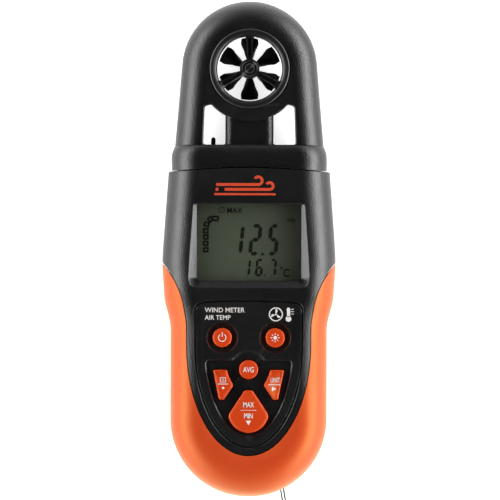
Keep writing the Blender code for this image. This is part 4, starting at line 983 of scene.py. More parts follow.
# %% The tie
TIE_LOW, TIE_HIGH = box("strap_tie")
tie_plan = rounded([(TIE_LOW.x, TIE_LOW.z), (TIE_HIGH.x, TIE_LOW.z), (TIE_HIGH.x, TIE_HIGH.z),
                    (TIE_LOW.x, TIE_HIGH.z)], 1.6, 8)
tie_inside = grown(tie_plan, -0.45)


def along_y(outline, y0, y1):
    return lofted([[(x, y, z) for x, z in outline] for y in (y0, y1)])


tie = solid("tie", along_y(tie_plan, TIE_LOW.y, TIE_HIGH.y))
cut(tie, along_y(tie_inside, TIE_LOW.y - 5, TIE_HIGH.y + 5))
piece("hook_and_loop_tie", tie, "casing", ["strap_tie"], cord_black)

# %% [markdown]
# ## The casing
# The two half shells are kept inside one form and meet at a hairline. The front one is cut for the
# display, the keys and the groove round the key panel. Where a soft grip wraps the shell, the shell stands
# back by the grip's thickness and a clearance, and the grip fills the step and comes flush.

# %% Cutters both shells share
GRIP_THICKNESS = 2.0
GRIP_WALL = 1.8
CAVITY_TOP = SEAM_Y - 2.95
SCREW_WIDE, SCREW_NARROW = 2.2, 1.2
CASE_SCREWS = [centre(f"case_screw_{i}") for i in range(1, 5)]
BOARD_SCREWS = [centre(f"board_screw_{i}") for i in range(1, 5)]
SPIGOT = 6.9
POCKET_HALF = 3.0


def under_grip(face):
    """What to take off a shell so that a grip fits: outside the hard face, outside the shell below it."""
    region = solid("region", block(-60, 60, -110, HIP_Y + 25, -10, 60))
    cut(region, prism(grown(hard_face_outline(face), -CLEARANCE), -30, 80))
    cut(region, casing_form(GRIP_THICKNESS + CLEARANCE, fine=False))
    return region


def casing_hollow():
    hollow = solid("hollow", casing_form(GRIP_THICKNESS + CLEARANCE + GRIP_WALL, fine=False))
    cut(hollow, block(-60, 60, CAVITY_TOP, SEAM_Y + 40, -20, 60))
    return hollow


def flank_seat(margin):
    """The slot in the right flank for the side cover, square to the tapered side."""
    low, high = box("side_cover")
    middle = (low.y + high.y) / 2
    length = high.y - low.y
    tall = (high.z - low.z) / 2 + margin
    seat = block(-1.3 - margin, 6, -length / 2 - margin, length / 2 + margin, -tall, tall)
    lean = Matrix.Rotation(math.atan(TAPER), 4, "Z")
    place = Matrix.Translation((casing_half(middle), middle, PARTING)) @ lean
    bmesh.ops.transform(seat, matrix=place, verts=seat.verts)
    return seat


def strap_pocket(wall=0.0):
    """The pocket in the heel where the thread hangs on its post; wall adds what surrounds it."""
    half = POCKET_HALF + wall
    return block(STRAP_X - half, STRAP_X + half, BOTTOM - 10, HEEL_Y - 14.2 + wall, -5, 8.4 + wall)


# %% [markdown]
# Three keys are round, two are blunt wedges that mirror each other, and the last is a kite with a
# round foot. Each is an outline that can be grown by a margin, so the same shape makes the cap, its hole
# in the shell and its flange.

# %% Key outlines
def circle(cx, cy, radius, steps=48):
    return arc(cx, cy, radius, 0, 360, steps)[:-1]


KEY_RADIUS = 3.17


def side_key_outline(margin=0.0):
    corners = [(-9.8, -9.9), (-8.3, -10.1), (-5.05, -5.3), (-6.6, -2.2), (-7.2, -0.1), (-11.8, -0.1)]
    return grown(rounded([(x, KEYPAD_Y + y) for x, y in corners], (0.7, 0.7, 0.7, 1.0, 0.5, 0.6)), margin)


def kite_key_outline(margin=0.0):
    side = arc(0, KEYPAD_Y - 14.4, 6.6, -90, -22, 16)
    side += [(6.55, KEYPAD_Y - 16.2), (6.5, KEYPAD_Y - 15.2), (6.25, KEYPAD_Y - 14.4), (5.9, KEYPAD_Y - 13.9)]
    side += [(1.6, KEYPAD_Y - 7.3), (1.2, KEYPAD_Y - 7.0), (0.7, KEYPAD_Y - 6.9)]
    return grown(mirrored(side), margin)


def round_key_outline(node):
    x, y, _ = centre(node)
    return lambda margin=0.0: circle(x, y, KEY_RADIUS + margin)


KEYS = {
    "key_power": round_key_outline("key_power"),
    "key_light": round_key_outline("key_light"),
    "key_average": round_key_outline("key_average"),
    "key_hold": side_key_outline,
    "key_unit": lambda margin=0.0: flipped(side_key_outline(margin)),
    "key_minmax": kite_key_outline,
}
ROUND_KEYS = ("key_power", "key_light", "key_average")

# %% [markdown]
# The front shell is the form of the whole casing, kept in front of the parting plane and cut off at the
# dome under the head. It is hollowed by a smaller form, which leaves posts for the screws and walls round
# the display.

# %% The front shell
BEZEL_DROP = 1.6
front = solid("front", half_space(True))
keep_inside(front, casing_form())
cut(front, seam_dome(SEAM_Y, above=True))
settle(front)
cut(front, under_grip(FRONT_FACE))
hollow = casing_hollow()
join(hollow, prism(shield_outline(15.6, HEEL_Y - 7, PANEL_TOP - 1, 3), PARTING, FRONT_INSIDE))
lens_low, lens_high = box("lcd_lens")
join(hollow, block(lens_low.x - CLEARANCE, lens_high.x + CLEARANCE, lens_low.y - CLEARANCE,
                   lens_high.y + CLEARANCE, PARTING, FRONT_INSIDE))
for x, y, _ in CASE_SCREWS:
    cut(hollow, rod(2.6, -10, 50, (x, y, 0), steps=16))
for x, y, _ in BOARD_SCREWS:
    cut(hollow, rod(2.0, BOARD_FACE + CLEARANCE, 50, (x, y, 0), steps=16))
cut(front, hollow)
settle(front)
print("front shell hollowed:", len(front.data.polygons), "faces")

# %% [markdown]
# The display sits at the bottom of a shallow well whose sides lean outwards, further at the bottom than at
# the top. A loft between the opening and the wider outline makes all four slopes in one cut.

# %% Display opening and bezel
half_x, half_y = WINDOW[0] / 2, WINDOW[1] / 2
opening = rectangle(half_x, DISPLAY_Y - half_y, DISPLAY_Y + half_y, 1.0)
flare = rounded([(-half_x - 3.3, DISPLAY_Y - half_y - 2.4), (half_x + 3.3, DISPLAY_Y - half_y - 2.4),
                 (half_x + 1.3, DISPLAY_Y + half_y + 0.1), (-half_x - 1.3, DISPLAY_Y + half_y + 0.1)],
                (3.4, 3.4, 1.0, 1.0))
cut(front, prism(opening, FRONT_INSIDE - 1.3, DEPTH + 2))
bezel = [[(x, y, DEPTH - BEZEL_DROP) for x, y in grown(opening, 0.2)],
         [(x, y, DEPTH - 0.14) for x, y in grown(flare, -0.1)],
         [(x, y, DEPTH) for x, y in grown(flare, 0.12)],
         [(x, y, DEPTH + 1) for x, y in grown(flare, 0.2)]]
cut(front, lofted(bezel))
settle(front)

# %% [markdown]
# The key panel is edged by a fine groove, the lower keys share a sunk pocket, and the two upper keys sit
# in dishes of their own. The groove is a ring-shaped cutter with soft lips. Bump would be cheaper, but it
# would not catch the light along the edge.

# %% Panel groove, pocket and dishes
panel = shield_outline(17.9, HEEL_Y - 9.4, PANEL_TOP, 2.6)
groove = solid("groove", mouth(grown(panel, 0.22), DEPTH - 0.6, DEPTH, 0.3))
inside = [[(x, y, z) for x, y in grown(panel, inset)]
          for z, inset in ((0, -0.22), (DEPTH - 0.35, -0.22), (DEPTH - 0.12, -0.34), (DEPTH + 0.01, -0.6),
                           (60, -0.6))]
cut(groove, lofted(inside))
cut(front, groove)
pocket = shield_outline(14.5, HEEL_Y - 5.6, KEYPAD_Y + 3.0, 1.2, crown=0)
recess = solid("recess", mouth(pocket, DEPTH - 0.5, DEPTH, 0.35))
x, y, _ = centre("key_average")
dip = ((0, -0.5), (4.9, -0.5), (5.6, -0.43), (6.1, -0.25), (6.45, -0.08), (6.7, 0), (6.75, 2), (0, 2))
join(recess, turned([(radius, DEPTH + rise) for radius, rise in dip], (x, y, 0), steps=96))
cut(front, recess)
settle(front)
for name, outline in KEYS.items():
    if name in ("key_power", "key_light"):
        x, y, _ = centre(name)
        hole, floor_z = KEY_RADIUS + CLEARANCE, DEPTH - 0.9
        dish = [(0, FRONT_INSIDE - 1), (hole, FRONT_INSIDE - 1), (hole, floor_z - 0.1)]
        dish.append((hole + 0.12, floor_z))
        dish += [(4.2 + 0.7 * math.sin(a), floor_z + 0.55 * (1 - math.cos(a))) for a in (0.4, 0.8, 1.2, 1.5)]
        dish += [(5.05, DEPTH - 0.14), (5.25, DEPTH + 0.01), (5.3, DEPTH + 2), (0, DEPTH + 2)]
        cut(front, turned(dish, (x, y, 0), steps=64))
    else:
        cut(front, mouth(outline(CLEARANCE), FRONT_INSIDE - 1, DEPTH - 0.5, 0.12))
cut(front, rod(SPIGOT, CAVITY_TOP - 1, SEAM_Y + 5, (0, 0, PARTING), "Y", 48))
cut(front, flank_seat(CLEARANCE))
for x, y, _ in CASE_SCREWS:
    cut(front, rod(SCREW_NARROW, 0, PARTING + 7.5, (x, y, 0), steps=12))
piece("casing_front", front, "casing", ["front_shell"], black)

# %% [markdown]
# The rear shell is made as the front one is, and then cut for the battery bay, its cover, the screws'
# bores and the pocket in the heel. The post that holds the thread is left standing across that pocket, as
# part of the shell.

# %% The rear shell
BAY_LOW = (box("battery_cover")[0].x + 1.5, box("battery_cover")[0].y + 1.5)
BAY_HIGH = (box("battery_cover")[1].x - 1.5, box("battery_cover")[1].y - 2.5)
BAY_CEILING = box("battery_1")[1].z + CLEARANCE
COVER_SEAT = box("battery_cover")[1].z + CLEARANCE
SCREW_SEAT = 7.0


def screw_bore(seat, middle):
    profile = [(0, -20), (SCREW_WIDE, -20), (SCREW_WIDE, seat), (SCREW_NARROW, seat),
               (SCREW_NARROW, PARTING + 5), (0, PARTING + 5)]
    return turned(profile, (middle.x, middle.y, 0), steps=28)


rear = solid("rear", half_space(False))
keep_inside(rear, casing_form())
cut(rear, seam_dome(SEAM_Y, above=True))
settle(rear)
cut(rear, under_grip(REAR_FACE))
hollow = casing_hollow()
cut(hollow, block(BAY_LOW[0] - 1.2, BAY_HIGH[0] + 1.2, BAY_LOW[1] - 1.2, BAY_HIGH[1] + 1.2, -5, 50))
cut(hollow, strap_pocket(1.2))
for x, y, _ in CASE_SCREWS:
    cut(hollow, rod(2.6, -10, 50, (x, y, 0), steps=16))
for side in (-1, 1):
    near, far = sorted((side * 9.3, side * 12.1))
    cut(hollow, block(near, far, box("swivel_spigot")[0].y - 0.5, CAVITY_TOP + 5, -5, PARTING - 1.5))
cut(rear, hollow)
settle(rear)
cut(rear, block(BAY_LOW[0], BAY_HIGH[0], BAY_LOW[1], BAY_HIGH[1], -5, BAY_CEILING))
cover_low, cover_high = box("battery_cover")
cover_plan = rectangle(cover_high.x, cover_low.y, cover_high.y, 3.0, 8)
cut(rear, mouth(grown(cover_plan, 0.22), COVER_SEAT, 0.0, 0.25, way=-1))
for place in CASE_SCREWS:
    cut(rear, screw_bore(SCREW_SEAT, place))
strap_room = solid("strap_room", strap_pocket())
cut(strap_room, rod(0.7, STRAP_X - 6, STRAP_X + 6, (0, HEEL_Y - 17.5, 4.6), "X", 24))
cut(rear, strap_room)
cut(rear, rod(SPIGOT, CAVITY_TOP - 1, SEAM_Y + 5, (0, 0, PARTING), "Y", 48))
cut(rear, flank_seat(CLEARANCE))
piece("casing_rear", rear, "casing", ["rear_shell"], black)


# %% [markdown]
# ## Soft grips
# The grips are an overmould: a horseshoe of soft orange round the heel, as thick as a fingernail. Its edge
# towards the hard face is slightly rolled, and a thin dark line shows between the two.

# %% Grips
def grip(name, is_front, face, node):
    made = solid(name, half_space(is_front))
    keep_inside(made, casing_form())
    settle(made)
    cut(made, casing_form(GRIP_THICKNESS, fine=False))
    cut(made, prism(hard_face_outline(face), -30, 80))
    if not is_front:
        cut(made, strap_pocket())
    return piece(name, made, "casing", [node], orange)


grip("soft_grip_front", True, FRONT_FACE, "front_grip")
grip("soft_grip_rear", False, REAR_FACE, "rear_grip")

# %% [markdown]
# ## Small covers and screws
# The flank cover and the battery cover are separate mouldings, each with a hairline round it. The battery
# cover has an arrow and ribs for the thumb. The screws are pan heads with a cross recess, sunk in bores.

# %% Flank cover
flank = solid("flank", casing_form())
keep_inside(flank, flank_seat(0.0))
piece("flank_cover", flank, "casing", ["side_cover"], black)

# %% [markdown]
# The cover is a thin plate, let into the back. Seven short grooves, each narrower than the last, make an
# arrow and a grip for the thumb.

# %% Battery cover
cover = solid("cover", rounded_solid(cover_plan, cover_low.z, cover_high.z, (0.35, 0.35), (0.1, 0.1),
                                     steps=5))
for i in range(7):
    y = cover_high.y - 8 - 2.0 * i
    half = 7.5 - 0.8 * i
    cut(cover, rod(0.55, -half, half, (0, y, cover_low.z - 0.15), "X", 20))
piece("bay_cover", cover, "battery_cover", ["battery_cover"], black)


# %% [markdown]
# The screws are the same size everywhere, so one function turns the head and shank and cuts the cross.
# They sit head down in deep bores, where only the cross catches any light.

# %% Screws
def cross_screw(name, node, body):
    low, high = box(node)
    middle = (low + high) / 2
    head = low.z + 1.4
    profile = [(0, low.z), (0.9, low.z), (1.4, low.z + 0.12), (1.75, low.z + 0.45), (1.9, low.z + 0.9),
               (1.9, head), (0.9, head), (0.9, high.z), (0, high.z)]
    made = solid(name, turned(profile, (middle.x, middle.y, 0), steps=32))
    for wide, tall in ((1.15, 0.2), (0.2, 1.15)):
        cut(made, block(middle.x - wide, middle.x + wide, middle.y - tall, middle.y + tall,
                        low.z - 1, low.z + 0.7))
    return piece(name, made, body, [node], steel)


for kind, body in (("case_screw", "casing"), ("head_screw", "head")):
    for i in range(1, 5):
        cross_screw(f"{kind.split('_')[0]}_fastener_{i}", f"{kind}_{i}", body)

# %% [markdown]
# ## Keys and their marks
# Each key is a rubbery orange cap with a softly rounded rim, printed in white. The marks are thin raised
# prints that ride with the key. Letters come from text objects turned into meshes, and the small signs are
# drawn from outlines.

# %% Key caps
KEY_TOP = box("key_average")[1].z


def key_cap(node):
    outline = KEYS[node]
    low, high = box(node)
    flange_top = FRONT_INSIDE - CLEARANCE
    rings = [(0.0, flange_top - 0.2), (0.0, KEY_TOP - 0.62)]
    rings += [(-0.42 * (1 - math.cos(a)), KEY_TOP - 0.62 + 0.50 * math.sin(a)) for a in (0.4, 0.8, 1.2, 1.5)]
    rings += [(-0.62, KEY_TOP - 0.06), (-0.85, KEY_TOP - 0.01), (-1.1, KEY_TOP)]
    if node not in ROUND_KEYS:
        rings = [r for r in rings if r[0] > -0.7] + [(-0.7, KEY_TOP)]
    made = solid(node, lofted([[(x, y, z) for x, y in outline(inset)] for inset, z in rings]))
    join(made, prism(outline(0.8), flange_top - 0.8, flange_top))
    x, y, _ = centre(node)
    stem = {"key_hold": (-8.6, KEYPAD_Y - 4.6), "key_unit": (8.6, KEYPAD_Y - 4.6),
            "key_minmax": (0.0, KEYPAD_Y - 14.4)}.get(node, (x, y))
    join(made, rod(1.5, low.z, flange_top - 0.5, (*stem, 0), steps=20))
    return piece(f"{node}_cap", made, node, [node], key_orange)


for node in KEYS:
    key_cap(node)


# %% [markdown]
# Printed ink has almost no thickness, but a flat picture on the surface would need an image. Thin solids
# do as well: letters from text objects, and bars, rings and dots from outlines, joined into one print.

# %% Prints
PRINT = 0.03


CAPITAL = 0.7


def lettering(text, x, y, height, narrow, z, weight=0.0, align="CENTER"):
    """Letters of a given height, centred on y and set from x, as a thin solid."""
    curve = bpy.data.curves.new("letters", "FONT")
    curve.body = text
    curve.align_x = align
    curve.size = 1.0
    curve.extrude = PRINT / 2 / height * CAPITAL
    curve.offset = weight
    curve.resolution_u = 3
    holder = bpy.data.objects.new("letters", curve)
    bpy.context.scene.collection.objects.link(holder)
    bpy.context.view_layer.update()
    mesh = bpy.data.meshes.new_from_object(holder.evaluated_get(bpy.context.evaluated_depsgraph_get()))
    bpy.data.objects.remove(holder)
    shape = bmesh.new()
    shape.from_mesh(mesh)
    size = height / CAPITAL
    bmesh.ops.scale(shape, vec=(size * narrow, size, size), verts=shape.verts)
    bmesh.ops.translate(shape, vec=(x, y - height / 2, z + PRINT / 2), verts=shape.verts)
    return shape


def flat(outline, z, thick=PRINT):
    return prism(outline, z, z + thick)


def ring_arc(cx, cy, radius, width, start, end, z, steps=32):
    outer = arc(cx, cy, radius + width / 2, start, end, steps)
    inner = arc(cx, cy, radius - width / 2, end, start, steps)
    return flat(outer + inner, z)


def ring_whole(cx, cy, radius, width, z):
    near, far = radius - width / 2, radius + width / 2
    return turned([(near, z), (far, z), (far, z + PRINT), (near, z + PRINT)], (cx, cy, 0), steps=48)


def bar(x, y, half_w, half_h, z):
    left, right, low, high = x - half_w, x + half_w, y - half_h, y + half_h
    return flat([(left, low), (right, low), (right, high), (left, high)], z)


def printed(name, shapes, body, material):
    """Several thin solids as one printed piece."""
    whole = bmesh.new()
    for shape in shapes:
        bmesh.ops.recalc_face_normals(shape, faces=shape.faces)
        mesh = bpy.data.meshes.new("part")
        shape.to_mesh(mesh)
        shape.free()
        whole.from_mesh(mesh)
        bpy.data.meshes.remove(mesh)
    return piece(name, whole, body, [], material)


# %% [markdown]
# Each key says what it does: a broken ring for power, a small sun for the light, and words or signs on the
# others. They are gathered from the same few strokes and ride on their own keys.

# %% Key signs
ON_KEY = KEY_TOP + 0.002


def key_sign(name, node, shapes):
    printed(name, shapes, node, white_ink)


def key_word(text, x, y, height, narrow, weight=0.012):
    return lettering(text, x, y, height, narrow, ON_KEY, weight=weight)


def key_bar(x, y, half_w, half_h):
    return bar(x, y, half_w, half_h, ON_KEY)


x, y, _ = centre("key_power")
key_sign("power_sign", "key_power",
         [ring_arc(x, y, 1.25, 0.28, 125, 415, ON_KEY), key_bar(x, y + 1.05, 0.14, 0.75)])
x, y, _ = centre("key_light")
rays = []
for i in range(8):
    ray = key_bar(0, 1.22, 0.13, 0.28)
    turn = Matrix.Translation((x, y, 0)) @ Matrix.Rotation(math.pi / 4 * i, 4, "Z")
    bmesh.ops.transform(ray, matrix=turn, verts=ray.verts)
    rays.append(ray)
key_sign("light_sign", "key_light", [flat(circle(x, y, 0.62, 24), ON_KEY)] + rays)
x, y, _ = centre("key_average")
key_sign("average_sign", "key_average", [key_word("AVG", x, y, 1.75, 0.72)])
y = KEYPAD_Y - 14.4
key_sign("minmax_sign", "key_minmax",
         [key_word("MAX", 0, y + 2.75, 1.75, 0.68), key_bar(0, y + 0.9, 2.6, 0.07),
          key_word("MIN", 0, y - 0.95, 1.75, 0.68),
          flat([(-0.9, y - 2.55), (0, y - 4.1), (0.9, y - 2.55)], ON_KEY)])
x, y = 8.6, KEYPAD_Y - 4.9
key_sign("unit_sign", "key_unit",
         [key_word("UNIT", x + 0.25, y + 1.45, 1.6, 0.60, 0.010), key_bar(x - 0.1, y - 0.1, 1.9, 0.13),
          flat([(x - 0.85, y - 2.3), (x + 0.75, y - 1.5), (x - 0.85, y - 0.7)], ON_KEY)])
x = -8.5
key_sign("hold_sign", "key_hold",
         [key_bar(x, y + 2.2, 1.0, 0.1), key_bar(x, y + 0.75, 1.0, 0.1),
          key_bar(x - 0.9, y + 1.475, 0.1, 0.63), key_bar(x + 0.9, y + 1.475, 0.1, 0.63),
          key_word("H", x, y + 1.475, 0.95, 0.8, 0.0), key_bar(x + 0.05, y + 0.1, 1.8, 0.12),
          flat(circle(x + 0.1, y - 1.2, 0.4, 20), ON_KEY)])

# %% [markdown]
# ## Marks on the face
# Above the display the face carries a pictogram in orange: two gusts of wind over a thin rule. The panel
# carries two plain words for what the meter reads, and two small signs, a vane and a thermometer.

# %% Wind pictogram
ON_FACE = DEPTH + 0.002


def stroke(points, width, z):
    """A flat ribbon of even width along a line of points."""
    left, right = [], []
    for i, (x, y) in enumerate(points):
        x0, y0 = points[max(i - 1, 0)]
        x1, y1 = points[min(i + 1, len(points) - 1)]
        along = Vector((x1 - x0, y1 - y0)).normalized()
        left.append((x - along.y * width / 2, y + along.x * width / 2))
        right.append((x + along.y * width / 2, y - along.x * width / 2))
    return flat(left + right[::-1], z)


def gust(x0, x1, y, curl, up):
    """A line that runs right and curls back over itself."""
    turn = arc(x1, y + up * curl, curl, -90 * up, 150 * up, 18)
    return [(x0, y), (x0 + (x1 - x0) * 0.5, y)] + turn


mark_y = DISPLAY_Y + WINDOW[1] / 2 + 5.6
MARK_X = -1.4
gusts = [stroke(gust(-9.6, 4.4, mark_y + 0.8, 1.3, 1), 0.95, ON_FACE),
         stroke(gust(-6.8, 8.2, mark_y - 0.8, 1.15, 1), 0.95, ON_FACE),
         stroke([(-10.2, mark_y - 2.4), (2.4, mark_y - 2.4), (10.2, mark_y - 2.4)], 0.7, ON_FACE),
         flat(circle(-9.3, mark_y - 0.8, 0.55, 20), ON_FACE)]
for shape in gusts:
    bmesh.ops.translate(shape, vec=(MARK_X, 0, 0), verts=shape.verts)
printed("wind_mark", gusts, "casing", orange_ink)

# %% [markdown]
# The panel says in two plain lines what the meter reads. Beside them stand a three-bladed fan in a ring
# and a thermometer with three ticks, both made of the same flat strokes.

# %% Panel marks
label_y = PANEL_TOP - 2.4
text_left = -14.6
words = [lettering("WIND METER", text_left, label_y + 0.1, 1.55, 0.98, ON_FACE, weight=0.008, align="LEFT"),
         lettering("AIR TEMP", text_left, label_y - 2.4, 1.55, 0.92, ON_FACE, weight=0.008, align="LEFT")]
fan_x, fan_y = 9.0, label_y - 1.3
blades = []
for i in range(3):
    petal = [(0.25 * math.sin(t * math.pi) * 2.4, 0.35 + 1.5 * t) for t in [k / 8 for k in range(9)]]
    petal += [(-0.12, 1.75), (-0.12, 0.4)]
    leaf = flat(petal[::-1], ON_FACE)
    place = Matrix.Translation((fan_x, fan_y, 0)) @ Matrix.Rotation(2 * math.pi * i / 3, 4, "Z")
    bmesh.ops.transform(leaf, matrix=place, verts=leaf.verts)
    blades.append(leaf)
signs = [ring_whole(fan_x, fan_y, 2.15, 0.36, ON_FACE), flat(circle(fan_x, fan_y, 0.3, 16), ON_FACE)]
signs += blades
stem_x = 13.2
signs += [flat(rectangle(0.55, fan_y - 1.0, fan_y + 2.2, 0.5), ON_FACE),
          flat(circle(0, fan_y - 1.5, 0.95, 24), ON_FACE)]
for shape in signs[-2:]:
    bmesh.ops.translate(shape, vec=(stem_x, 0, 0), verts=shape.verts)
signs += [bar(stem_x + 1.35, fan_y + 1.7 - 0.8 * i, 0.45, 0.1, ON_FACE) for i in range(3)]
printed("panel_words", words, "casing", white_ink)
printed("panel_signs", signs, "casing", white_ink)

# %% [markdown]
# ## The display
# The window is a clear plate with a polished edge. Under it lie the segments, which are real thin solids
# just over the backing, so that they cast their faint shadow as liquid crystal does.

# %% Window and backing
window_plan = rectangle(lens_high.x, lens_low.y, lens_high.y, 1.2, 8)
window = rounded_solid(window_plan, lens_low.z, lens_high.z, (0.08, 0.08), (0.15, 0.15), steps=3)
piece("display_window", window, "casing", ["lcd_lens"], clear)

# %% [markdown]
# A liquid crystal figure is made of seven bars with pointed ends. One function draws a figure from the
# letters of its bars and leans it a little. The bar scale at the left is a row of small frames that bends
# over at its top.

# %% Segments
ON_LCD = box("lcd_module")[1].z + 0.03
SEGMENTS = {"1": "bc", "2": "abged", "5": "afgcd", "6": "afgcde", "7": "abc"}


def digit(figure, x, y, width, tall, thick, lean):
    """Seven-segment strokes with pointed ends, leaning right."""
    half_w, half_h = width / 2, tall / 2
    gap = thick * 0.10
    point, half_t = gap + thick / 2, thick / 2
    across = [(-half_w + gap, 0), (-half_w + point, half_t), (half_w - point, half_t),
              (half_w - gap, 0), (half_w - point, -half_t), (-half_w + point, -half_t)]
    up = [(0, gap), (half_t, point), (half_t, half_h - point), (0, half_h - gap),
          (-half_t, half_h - point), (-half_t, point)]
    places = {"a": (across, 0, half_h), "g": (across, 0, 0), "d": (across, 0, -half_h), "b": (up, half_w, 0),
              "c": (up, half_w, -half_h), "f": (up, -half_w, 0), "e": (up, -half_w, -half_h)}
    strokes = []
    for name in SEGMENTS[figure]:
        outline, dx, dy = places[name]
        points = [(px + dx, py + dy) for px, py in outline]
        points = [(x + px + lean * py, y + py) for px, py in points]
        area = sum(x0 * y1 - x1 * y0 for (x0, y0), (x1, y1) in zip(points[-1:] + points, points))
        strokes.append(flat(points if area > 0 else points[::-1], ON_LCD))
    return strokes


ink = []
for figure, x, width in (("1", -3.75, 2.6), ("2", 2.1, 2.6), ("5", 8.1, 2.3)):
    ink += digit(figure, x, DISPLAY_Y + 0.87, width, 9.2, 1.25, 0.10)
ink.append(flat(circle(4.5, DISPLAY_Y - 3.9, 0.48, 16), ON_LCD))
for figure, x in (("1", -0.75), ("6", 3.4), ("7", 7.9)):
    ink += digit(figure, x, DISPLAY_Y - 8.4, 1.7, 5.1, 0.8, 0.10)
ink.append(flat(circle(5.4, DISPLAY_Y - 10.9, 0.32, 12), ON_LCD))
for words, x, y, size, wide in (("MAX", -4.9, 10.6, 1.75, 0.95), ("m/s", 14.0, 7.5, 1.5, 0.95),
                                ("C", 12.4, -10.1, 2.5, 0.85)):
    ink.append(lettering(words, x, DISPLAY_Y + y, size, wide, ON_LCD, weight=0.02))
ink.append(ring_whole(10.8, DISPLAY_Y - 8.5, 0.34, 0.22, ON_LCD))
clock = (-9.1, DISPLAY_Y + 10.7)
ink += [ring_whole(*clock, 0.95, 0.26, ON_LCD), bar(clock[0] + 0.2, clock[1], 0.3, 0.11, ON_LCD)]


def scale_box(x, y, lean, half_w=1.0, half_h=0.95, line=0.66):
    """One cell of the bar scale: a dark frame round a small light window."""
    outer = rounded([(-half_w, -half_h), (half_w, -half_h), (half_w, half_h), (-half_w, half_h)], 0.3, 3)
    inner = [(-half_w + line, -half_h + line), (half_w - line, -half_h + line),
             (half_w - line, half_h - line), (-half_w + line, half_h - line)]
    frame_shape = solid("scale_box", flat(outer, ON_LCD))
    cut(frame_shape, prism(inner, ON_LCD - 1, ON_LCD + 1))
    settle(frame_shape)
    shape = bmesh.new()
    shape.from_mesh(frame_shape.data)
    bpy.data.objects.remove(frame_shape)
    bmesh.ops.scale(shape, vec=(1 / MM, 1 / MM, 1 / MM), verts=shape.verts)
    place = Matrix.Translation((x, y, 0)) @ Matrix.Rotation(math.radians(lean), 4, "Z")
    bmesh.ops.transform(shape, matrix=place, verts=shape.verts)
    return shape


for x, y, lean in ((-14.4, -2.5, 0), (-14.4, -0.4, 0), (-14.4, 1.7, 0), (-14.4, 3.8, -4),
                   (-14.1, 5.95, -18), (-12.9, 7.6, -50)):
    ink.append(scale_box(x, DISPLAY_Y + y, lean))
ink.append(scale_box(-11.2, DISPLAY_Y + 7.9, 0, half_w=1.2))
printed("display_figures", ink, "casing", lcd_ink)

# %% [markdown]
# ## The head
# The head is an arch over two windows, with a stalk between them that carries the ring round the vane. It
# stands on a collar that turns on the casing. The stalk is set back under the ring and its long edges are
# rounded, so that the ring reads as one clean hoop.

# %% Head form
def collar_section(shrink):
    """The collar across the swivel's axis: the casing's own section, a little smaller."""
    half = casing_half(SEAM_Y) - COLLAR_STEP - shrink
    faces = ((FRONT_EDGE, DEPTH - COLLAR_STEP - shrink, 1), (REAR_EDGE, COLLAR_STEP + shrink, -1))
    corners = []
    for edge, face, way in faces:
        reach, depth = edge[0] - COLLAR_STEP, edge[1] - COLLAR_STEP
        corners.append([(half - reach * (1 - math.cos(a)), face - way * depth * (1 - math.sin(a)))
                        for a in [math.pi / 2 * i / 16 for i in range(17)]])
    right = list(reversed(corners[1])) + corners[0]
    return right + [(-x, z) for x, z in reversed(right)]


def collar_form():
    rise = COLLAR_TOP - SEAM_Y
    levels = [(-4.0, 0.1), (0.0, 0.1), (2.0, 0.0), (4.2, 0.15), (rise - 1.9, 0.55), (rise - 1.1, 0.85),
              (rise - 0.6, 1.2), (rise - 0.25, 1.6), (rise - 0.06, 2.0), (rise, 2.4)]
    return lofted([[(x, SEAM_Y + dy, z) for x, z in collar_section(shrink)] for dy, shrink in levels])


def air_window(margin=0.0):
    """The right-hand window beside the stalk; its top follows the ring round the vane."""
    ring = RING_OUTER - margin
    inner, outer, low = STALK_HALF - margin, WINDOW_OUTER + margin, COLLAR_TOP - margin
    steps = 8
    across = [outer - 2.6 - (outer - 2.6 - inner) * i / steps for i in range(steps + 1)]
    top = [(x, VANE.y - math.sqrt(ring ** 2 - x ** 2)) for x in across]
    corners = [(inner, low), (outer, low), (outer - 0.5, VANE.y - 12.4 + margin)] + top
    radii = [0.8, 1.0, 1.2, 0.5] + [0] * (steps - 1) + [0.3]
    return rounded(corners, radii, 5)


def through_window(outline):
    """A window's cutter, with a rounded lip at the front and at the back."""
    lip = 0.35
    angles = [math.pi / 8 * i for i in range(5)]
    back_face, front_face = PARTING - HEAD_DEPTH / 2, HEAD_FACE
    curve = [(lip * math.cos(a), lip * (1 - math.sin(math.pi / 2 - a))) for a in angles]
    levels = [(back_face - 10, lip)]
    levels += [(back_face + rise, inset) for rise, inset in reversed(curve)]
    levels += [(front_face - rise, inset) for rise, inset in curve]
    levels.append((front_face + 10, lip))
    return lofted([[(x, y, z) for x, y in grown(outline, inset)] for z, inset in levels])


def stalk_relief(front):
    """A cutter that sets the stalk back under the ring and rounds its long edges."""
    face = HEAD_FACE if front else PARTING - HEAD_DEPTH / 2
    way = 1 if front else -1
    angles = [math.pi / 2 * i / 8 for i in range(9)]
    side = STALK_HALF + 0.4
    points = [(side, face + way * 6)]
    points += [(side - 3.0 * (1 - math.cos(a)), face - way * (0.9 + 3.2 * (1 - math.sin(a)))) for a in angles]
    points += [(-x, z) for x, z in reversed(points)]
    made = solid("relief", along_y(points, COLLAR_TOP + 0.1, VANE.y - 10))
    cut(made, rod(RING_OUTER - 0.1, -40, 80, (VANE.x, VANE.y, 0), steps=96))
    return made


# %% [markdown]
# The two halves of the head are cut from one body, so their edges agree all the way round. The body takes
# the windows and the set-back stalk first. Each half is then hollowed, and bored for the duct, the swivel,
# the probe and the screws.

# %% Head shells
HEAD_SCREWS = [centre(f"head_screw_{i}") for i in range(1, 5)]
DUCT_OUTER = 11.9
RIM_OUTER = box("vane_frame_front")[1].x
RIM_TOP = box("vane_frame_front")[1].z


